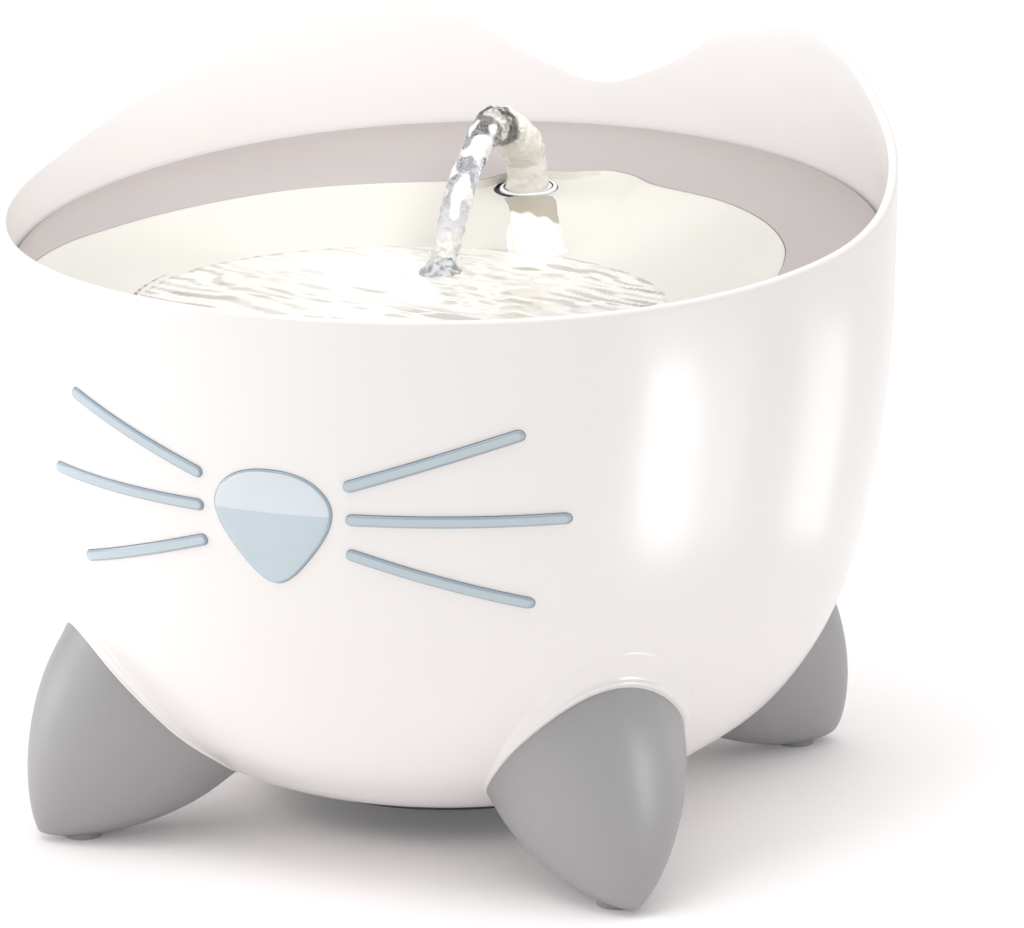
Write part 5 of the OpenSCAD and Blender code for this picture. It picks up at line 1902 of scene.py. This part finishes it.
    def pool(self) -> None:
        """Makes the pool: waves on top, and a bed sunk a little into the dish."""
        dish, centre = self.dish, np.array(self.dish.centre)
        way = ways(self.pool_columns)
        reach = (np.arange(self.pool_rings) / (self.pool_rings - 1)) * (dish.pool_r + self.pool_over)
        xy = centre + reach[:, None, None] * way
        calm = np.clip((dish.pool_r - reach) / self.calm_width, self.calm_least, 1)[:, None]
        z = dish.pool_z + self.ripple(xy) * calm
        top = np.concatenate([xy, z[..., None]], axis=-1)
        low = [np.column_stack([centre + r * way, np.full(len(way), float(dish.bowl(r)) - self.sunk)])
               for r in self.bed_rows]
        made = solid("pool_water", np.concatenate([top, np.stack(low)]), sharp=CRISP_WATER)
        # Painted shade: grey-brown streaks on the waves, darker at the sides and front, and a line along the
        # edge
        stain(made, "wave", self.shades(points_of(made)))
        dress(made, POOL)
        show(made, "tray")

    def shades(self, points: Array) -> Array:
        """Gives the pool's painted shade: streaks on the sides of its waves that turn from the light, darker
        at its sides and along its edge.

        Args:
            points: one point to a row.

        Returns:
            A share from 0 to 1 for each point.
        """
        step, flat = self.slope_step, points[:, :2]
        ahead = self.ripple(flat + (0, step)) - self.ripple(flat - (0, step))
        across = self.ripple(flat + (step, 0)) - self.ripple(flat - (step, 0))
        fall = (self.painted_shade_way[1] * ahead + self.painted_shade_way[0] * across) / (2 * step)
        offset = flat - np.array(self.dish.centre)
        away = np.hypot(offset[:, 0], offset[:, 1])
        beside = ramp(np.abs(offset @ np.array(self.right)), *self.beside)
        near = ramp(-(offset @ np.array(self.back)), *self.near)
        start, width = self.steep
        painted_streak = np.clip((fall - start + self.steep_beside * beside + self.steep_near * near) / width, 0, 1)
        pitch, strength, level, at_side = self.breaks
        broken = strength * cloud(points * self.breaks_stretch, pitch) + level + at_side * beside
        painted_streak *= np.clip(broken, 0, 1)
        share, inside, wide = self.edge_shade_line
        edge = share * np.clip(1 - np.abs(away - self.dish.pool_r + inside) / wide, 0, 1)
        return painted_streak * (0.5 + 0.5 * np.maximum(beside, 0.8 * near)) + edge

    def jet(self) -> None:
        """Makes the jet along its arc, wrinkled at its crest and where it falls in."""
        fine = flowing(self.stations, self.jet_steps)
        back, up, wide = fine.T
        outlet = self.dish.nozzle_y
        share = ramp(-back, -outlet, outlet - self.landing[1])
        points = np.column_stack([self.landing[0] * share, back, up])
        crest = bell(back, *self.crest[:2]) * (up > self.crest[2])
        foot = ramp(-up, -self.foot[0], self.foot[1]) * (back < self.foot[2])
        line = places("jet_path", points, wide * MM, np.maximum(crest, 0.5 * foot) + self.least_wrinkle)
        made = SWEEP.apply(line, "water_jet", JET, Sides=96, Swell=2.2 * MM, Pitch=8.0 * MM, Fold=1.0 * MM,
                           Wrinkle=2.4 * MM)
        self.shade_jet(made)
        show(made, "tray")

    def shade_jet(self, made: Object) -> None:
        """Writes how milky the jet is, partly as painted highlight, and its painted shade in the dark folds
        at its crest, on its points.

        Args:
            made: the jet.
        """
        p = points_of(made)
        back, up = p[:, 1], p[:, 2]
        start, width, stray, pitch = self.air
        air = ramp(back + stray * cloud(p, pitch), start, width)
        top, width, before, share = self.milky_foot
        low = share * ramp(-up, -top, width) * (back < before)
        # Milky patches in the falling jet: partly air, partly painted highlight
        start, width, before, share = self.white
        white = share * ramp(cloud(p * self.white_stretch, *self.white_noise), start, width) * (back < before)
        stain(made, "milk", np.maximum(np.maximum(air, low), white))
        # Painted shade: dark folds at the crest
        at_crest = bell(back, *self.fold_place) * ramp(up, *self.fold_height)
        fold_shade = ramp(0.8 * cloud(p, 1.2) + cloud(p, 3.0, 5.0), *self.fold_noise)
        stain(made, "wave", self.fold_shade_share * at_crest * fold_shade)

    def splash(self) -> None:
        """Makes the lump of broken water where the jet meets the pool, with a ragged lip."""
        columns = self.splash_columns
        way = ways(columns)
        ragged = cloud(np.column_stack([1.2 * way, np.zeros(columns)]), 0.9)
        rows = []
        level = self.dish.pool_z
        centre = np.array(self.landing) + self.splash_shift
        for radius, height in self.splash_rows:
            wide = radius * (1 + self.splash_wide * ragged)
            tall = height * (1 + self.splash_tall * ragged) if height > 0.5 else np.full(columns, height)
            at = np.column_stack([centre + wide[:, None] * way, level + tall])
            if height > 0:
                rough = np.column_stack([cloud(at, 1.7, k) for k in (1.0, 4.0, 9.0)])
                at += self.splash_rough * (radius > 0) * rough
            if radius == 0:
                at[:] = at.mean(axis=0)
            rows.append(at)
        made = solid("splash_crown", np.stack(rows), sharp=CRISP_WATER)
        # Painted shade, in random grey patches on the broken water
        stain(made, "wave", (cloud(points_of(made), 1.7, 3.0) + 0.1) / 0.4)
        dress(made, SPLASH)
        show(made, "tray")

    def film(self) -> None:
        """Makes the thin sheet of water that runs from the outlet's ring down to the pool."""
        dish = self.dish
        columns, steps = self.film_grid
        across, along = np.meshgrid(np.linspace(-1, 1, columns), np.linspace(0, 1, steps))
        ahead, side = np.array(self.way[0]), np.array(self.way[1])
        middle = self.film_shift * along + 0.5 * np.sin(along * 7)
        start, end = self.film_w
        wide = start + (end - start) * along + 0.35 * np.sin(along * 11 + 1)
        xy = (np.array([0, dish.nozzle_y]) + ahead * (self.film_from + self.film_l * along)[..., None]
              + side * (middle + wide * across)[..., None])
        floor = dish.height_at(xy.reshape(-1, 2)).reshape(across.shape)
        thick = self.film_t * (1 - across**4) * np.clip((1 - along) / 0.06, 0, 1)
        crinkled = floor + thick + 0.03 * np.sin(along * 40 + across * 3)
        top = np.concatenate([xy, crinkled[..., None]], axis=-1)
        bed = np.concatenate([xy, (floor - 0.4)[..., None]], axis=-1)
        rows = np.concatenate([top, bed[:, ::-1]], axis=1)
        # The upper end is drawn together; the lower end is left open
        upper = np.repeat(rows[:1].mean(axis=1, keepdims=True), rows.shape[1], axis=1)
        made = solid("water_film", np.concatenate([upper, rows]), sharp=CRISP_WATER)
        offset = points_of(made)[:, :2] - (0, dish.nozzle_y)
        run = (offset @ ahead - self.film_from) / self.film_l
        aside = (offset @ side - self.film_shift * run) / self.film_w[0]
        middle, lean, sway, times, blur = self.film_dark
        edge = middle + lean * aside + sway * np.sin(aside * times)
        shade_patch = np.clip((edge - run) / blur, 0, 1) * self.film_shade
        faint_shade = self.faint_shade[0] * bell(aside, *self.faint_shade[1:]) * ramp(run, *self.faint_from)
        share, inner, outer, width = self.rim
        rim = share * ramp(np.abs(aside), inner, width) * ramp(-np.abs(aside), -outer, width)
        # Painted shade: the dark patch under the ring, the faint streak and the dark rims
        stain(made, "wave", np.maximum(shade_patch, faint_shade + rim))
        dress(made, FILM)
        show(made, "tray")

    def drips(self) -> None:
        """Scatters the drops beside the jet."""
        mesh = bpy.data.meshes.new("drop")
        bm = bmesh.new()
        bmesh.ops.create_icosphere(bm, subdivisions=3, radius=MM)
        bm.to_mesh(mesh)
        bm.free()
        shape = link("drop", mesh)
        at, sizes = zip(*self.drops)
        made = COPIES.apply(places("drop_places", at, sizes), "water_drops", DROPS, Shape=shape)
        bpy.data.objects.remove(shape)
        show(made, "tray")

    def build(self) -> None:
        """Makes all the water."""
        self.pool()
        self.jet()
        self.film()
        self.splash()
        self.drips()


# ---------- Studio ----------


@dataclass(frozen=True)
class Studio:
    """The floor, the soft light and the camera."""

    azimuth: float = 21.37
    elevation: float = 14.66
    distance: float = 1418.5
    aim_z: float = 91.8
    aim_right: float = 17.32
    lens: float = 184.3
    # What the camera sees, from near to far, and half the floor's width, all in metres
    seen: tuple = (0.05, 20)
    floor_half: float = 8.0
    room_light: float = 0.7
    # Each soft panel: its middle, what it faces, its width and height, its power and, if narrow, its spread
    panels: dict = field(default_factory=lambda: {
        "fill": ((-1250, -1150, 650), (0, 0, 90), (1000, 800), 3.5),
        "left": ((-1400, -300, 300), (0, 0, 80), (600, 600), 5.4),
        "front": ((-200, -700, 1700), (0, 0, 150), (600, 600), 5.2),
        "over_bowl": ((120, -60, 600), (80, 60, 160), (160, 160), 0.4),
        "in_bowl": ((80, -60, 275), (-100, 50, 190), (80, 80), 0.074, 100.0),
        "above": ((0, 500, 1900), (0, 500, 0), (3000, 3000), 14.6),
    })
    # Each reflector card, which shows in the glossy side alone
    cards: dict = field(default_factory=lambda: {
        "card_1": ((214, -94, 70), (100, -58, 100), (40, 80), 0.055),
        "card_2": ((219, -92, 66), (102, -56, 100), (66, 96), 0.033),
        "card_3": ((231, -42, 70), (110, -30, 100), (46, 90), 0.018),
        "card_4": ((204, 66, 72), (100, 10, 110), (60, 84), 0.03),
    })

    def camera(self) -> None:
        """Sets the camera up at the front right, a little above the fountain."""
        a, e = math.radians(self.azimuth), math.radians(self.elevation)
        back = Vector((math.sin(a) * math.cos(e), -math.cos(a) * math.cos(e), math.sin(e)))
        right = Vector((math.cos(a), math.sin(a), 0))
        aim = (Vector((0, 0, self.aim_z)) + right * self.aim_right) * MM
        data = bpy.data.cameras.new("studio_camera")
        data.lens = self.lens
        data.sensor_width = 36
        data.clip_start, data.clip_end = self.seen
        made = bpy.data.objects.new("studio_camera", data)
        made.location = aim + back * self.distance * MM
        made.rotation_mode = "QUATERNION"
        made.rotation_quaternion = (-back).to_track_quat("-Z", "Y")
        bpy.context.scene.collection.objects.link(made)
        bpy.context.scene.camera = made

    def panel(self, name: str, centre: tuple, aim: tuple, size: tuple, power: float, spread: float = 180.0,
              mirrored: bool = False) -> None:
        """Hangs a soft light panel, turned to what it lights.

        Args:
            name: the panel's name.
            centre: its middle, in millimetres.
            aim: the point it faces.
            size: its width and height.
            power: its power in watts.
            spread: the angle in degrees that its light fans out over, as a grid in front of it sets.
            mirrored: whether it only shows in glossy surfaces, as a thin reflector card does.
        """
        data = bpy.data.lights.new(name, "AREA")
        data.shape = "RECTANGLE"
        data.size, data.size_y = size[0] * MM, size[1] * MM
        data.energy = power
        data.spread = math.radians(spread)
        made = bpy.data.objects.new(name, data)
        made.location = Vector(centre) * MM
        made.rotation_mode = "QUATERNION"
        made.rotation_quaternion = (Vector(aim) - Vector(centre)).to_track_quat("-Z", "Y")
        made.visible_camera = False
        made.visible_diffuse = not mirrored
        made.visible_transmission = not mirrored
        bpy.context.scene.collection.objects.link(made)

    def floor(self) -> None:
        """Lays a white floor."""
        half = self.floor_half
        mesh = bpy.data.meshes.new("floor")
        corners = [(-half, -half, 0), (half, -half, 0), (half, half, 0), (-half, half, 0)]
        mesh.from_pydata(corners, [], [(0, 1, 2, 3)])
        made = link("floor", mesh)
        dress(made, FLOOR)

    def world(self) -> None:
        """Fills the room with soft white light."""
        world = bpy.data.worlds.new("soft_room")
        bpy.context.scene.world = world
        world.use_nodes = True
        tree = world.node_tree
        tree.nodes.clear()
        colour = {"Color": linear("#ffffff"), "Strength": self.room_light}
        sky = add_node(tree, "ShaderNodeBackground", colour, {})
        add_node(tree, "ShaderNodeOutputWorld", {}, {"Surface": sky.outputs[0]})

    def build(self) -> None:
        """Sets the studio up."""
        bpy.context.scene.view_settings.view_transform = "Standard"
        self.camera()
        self.floor()
        self.world()
        for name, panel in self.panels.items():
            self.panel(name, *panel)
        for name, card in self.cards.items():
            self.panel(name, *card, mirrored=True)


def dress(obj: Object, *finishes: Finish) -> None:
    """Gives a mesh its finishes.

    Args:
        obj: the mesh object.
        finishes: what its bands are made of, in their order.
    """
    # Clearing puts every face back in the first band, so it is left out where there is nothing to clear
    if len(obj.data.materials):
        obj.data.materials.clear()
    for finish in finishes:
        obj.data.materials.append(finish.build())


def show(piece: Object, body: str, nodes: Sequence[str] = ()) -> None:
    """Lets a finished piece ride on its body, stand for its CAD nodes, and reports it.

    Args:
        piece: the finished piece.
        body: the body it rides on.
        nodes: the CAD nodes it stands for, if any.
    """
    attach(piece, body)
    if nodes:
        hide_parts(*nodes)
    LOG.info("%s: %d faces on %s", piece.name, len(piece.data.polygons), body)


SWEEP, COPIES = Sweep(), Copies()

# The CAD nodes that keep their own mesh, and what each is made of
CARRIED = {
    "bottom_cover": BASE_AND_GROOVE_SHADE, "cover_screws": SCREW, "foot_pads": PAD, "foot_screws": SCREW,
    "nose_seal": PALE_RUBBER, "whisker_seals": PALE_RUBBER, "light_housing": INNER, "light_board": BOARD,
    "light_lead": LEAD, "power_inlet": BASE_AND_GROOVE_SHADE, "inlet_seal": RUBBER, "inlet_lead": LEAD, "control_board": BOARD,
    "lead_grommets": RUBBER, "pump_body": INNER, "pump_core": POTTING, "pump_rear_plate": INNER,
    "suction_cups": PALE_RUBBER, "impeller_cap": INNER, "shaft_bushes": RUBBER, "impeller_shaft": CERAMIC,
    "impeller": IMPELLER, "pump_cover": PUMP_COVER, "pre_filter": FOAM, "flow_dial": DIAL, "pump_lead": LEAD,
    "riser_tube": RISER, "filter_holder": INNER, "filter_frame": INNER, "filter_media": FOAM,
}


def dress_nodes(nodes: dict) -> None:
    """Gives each carried-over CAD node its finish.

    Args:
        nodes: the CAD nodes' objects, by name.
    """
    for name, finish in CARRIED.items():
        dress(nodes[name], finish)


def main() -> None:
    """Builds the fountain round its frame, in order."""
    logging.basicConfig(level=logging.INFO, format="%(name)s %(message)s")
    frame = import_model()
    body, foot = BodyForm(), FootForm()
    windows = Windows(body)
    Studio().build()
    dress_nodes(frame["nodes"])
    SWEEP.build()
    COPIES.build()
    Shell(body, foot, windows).build()
    Feet(body, foot).build()
    windows.build()
    dish = Dish()
    dish.build()
    Deck(dish).build()
    Nozzle().build()
    Fountain(dish).build()


if __name__ == "__main__":
    main()
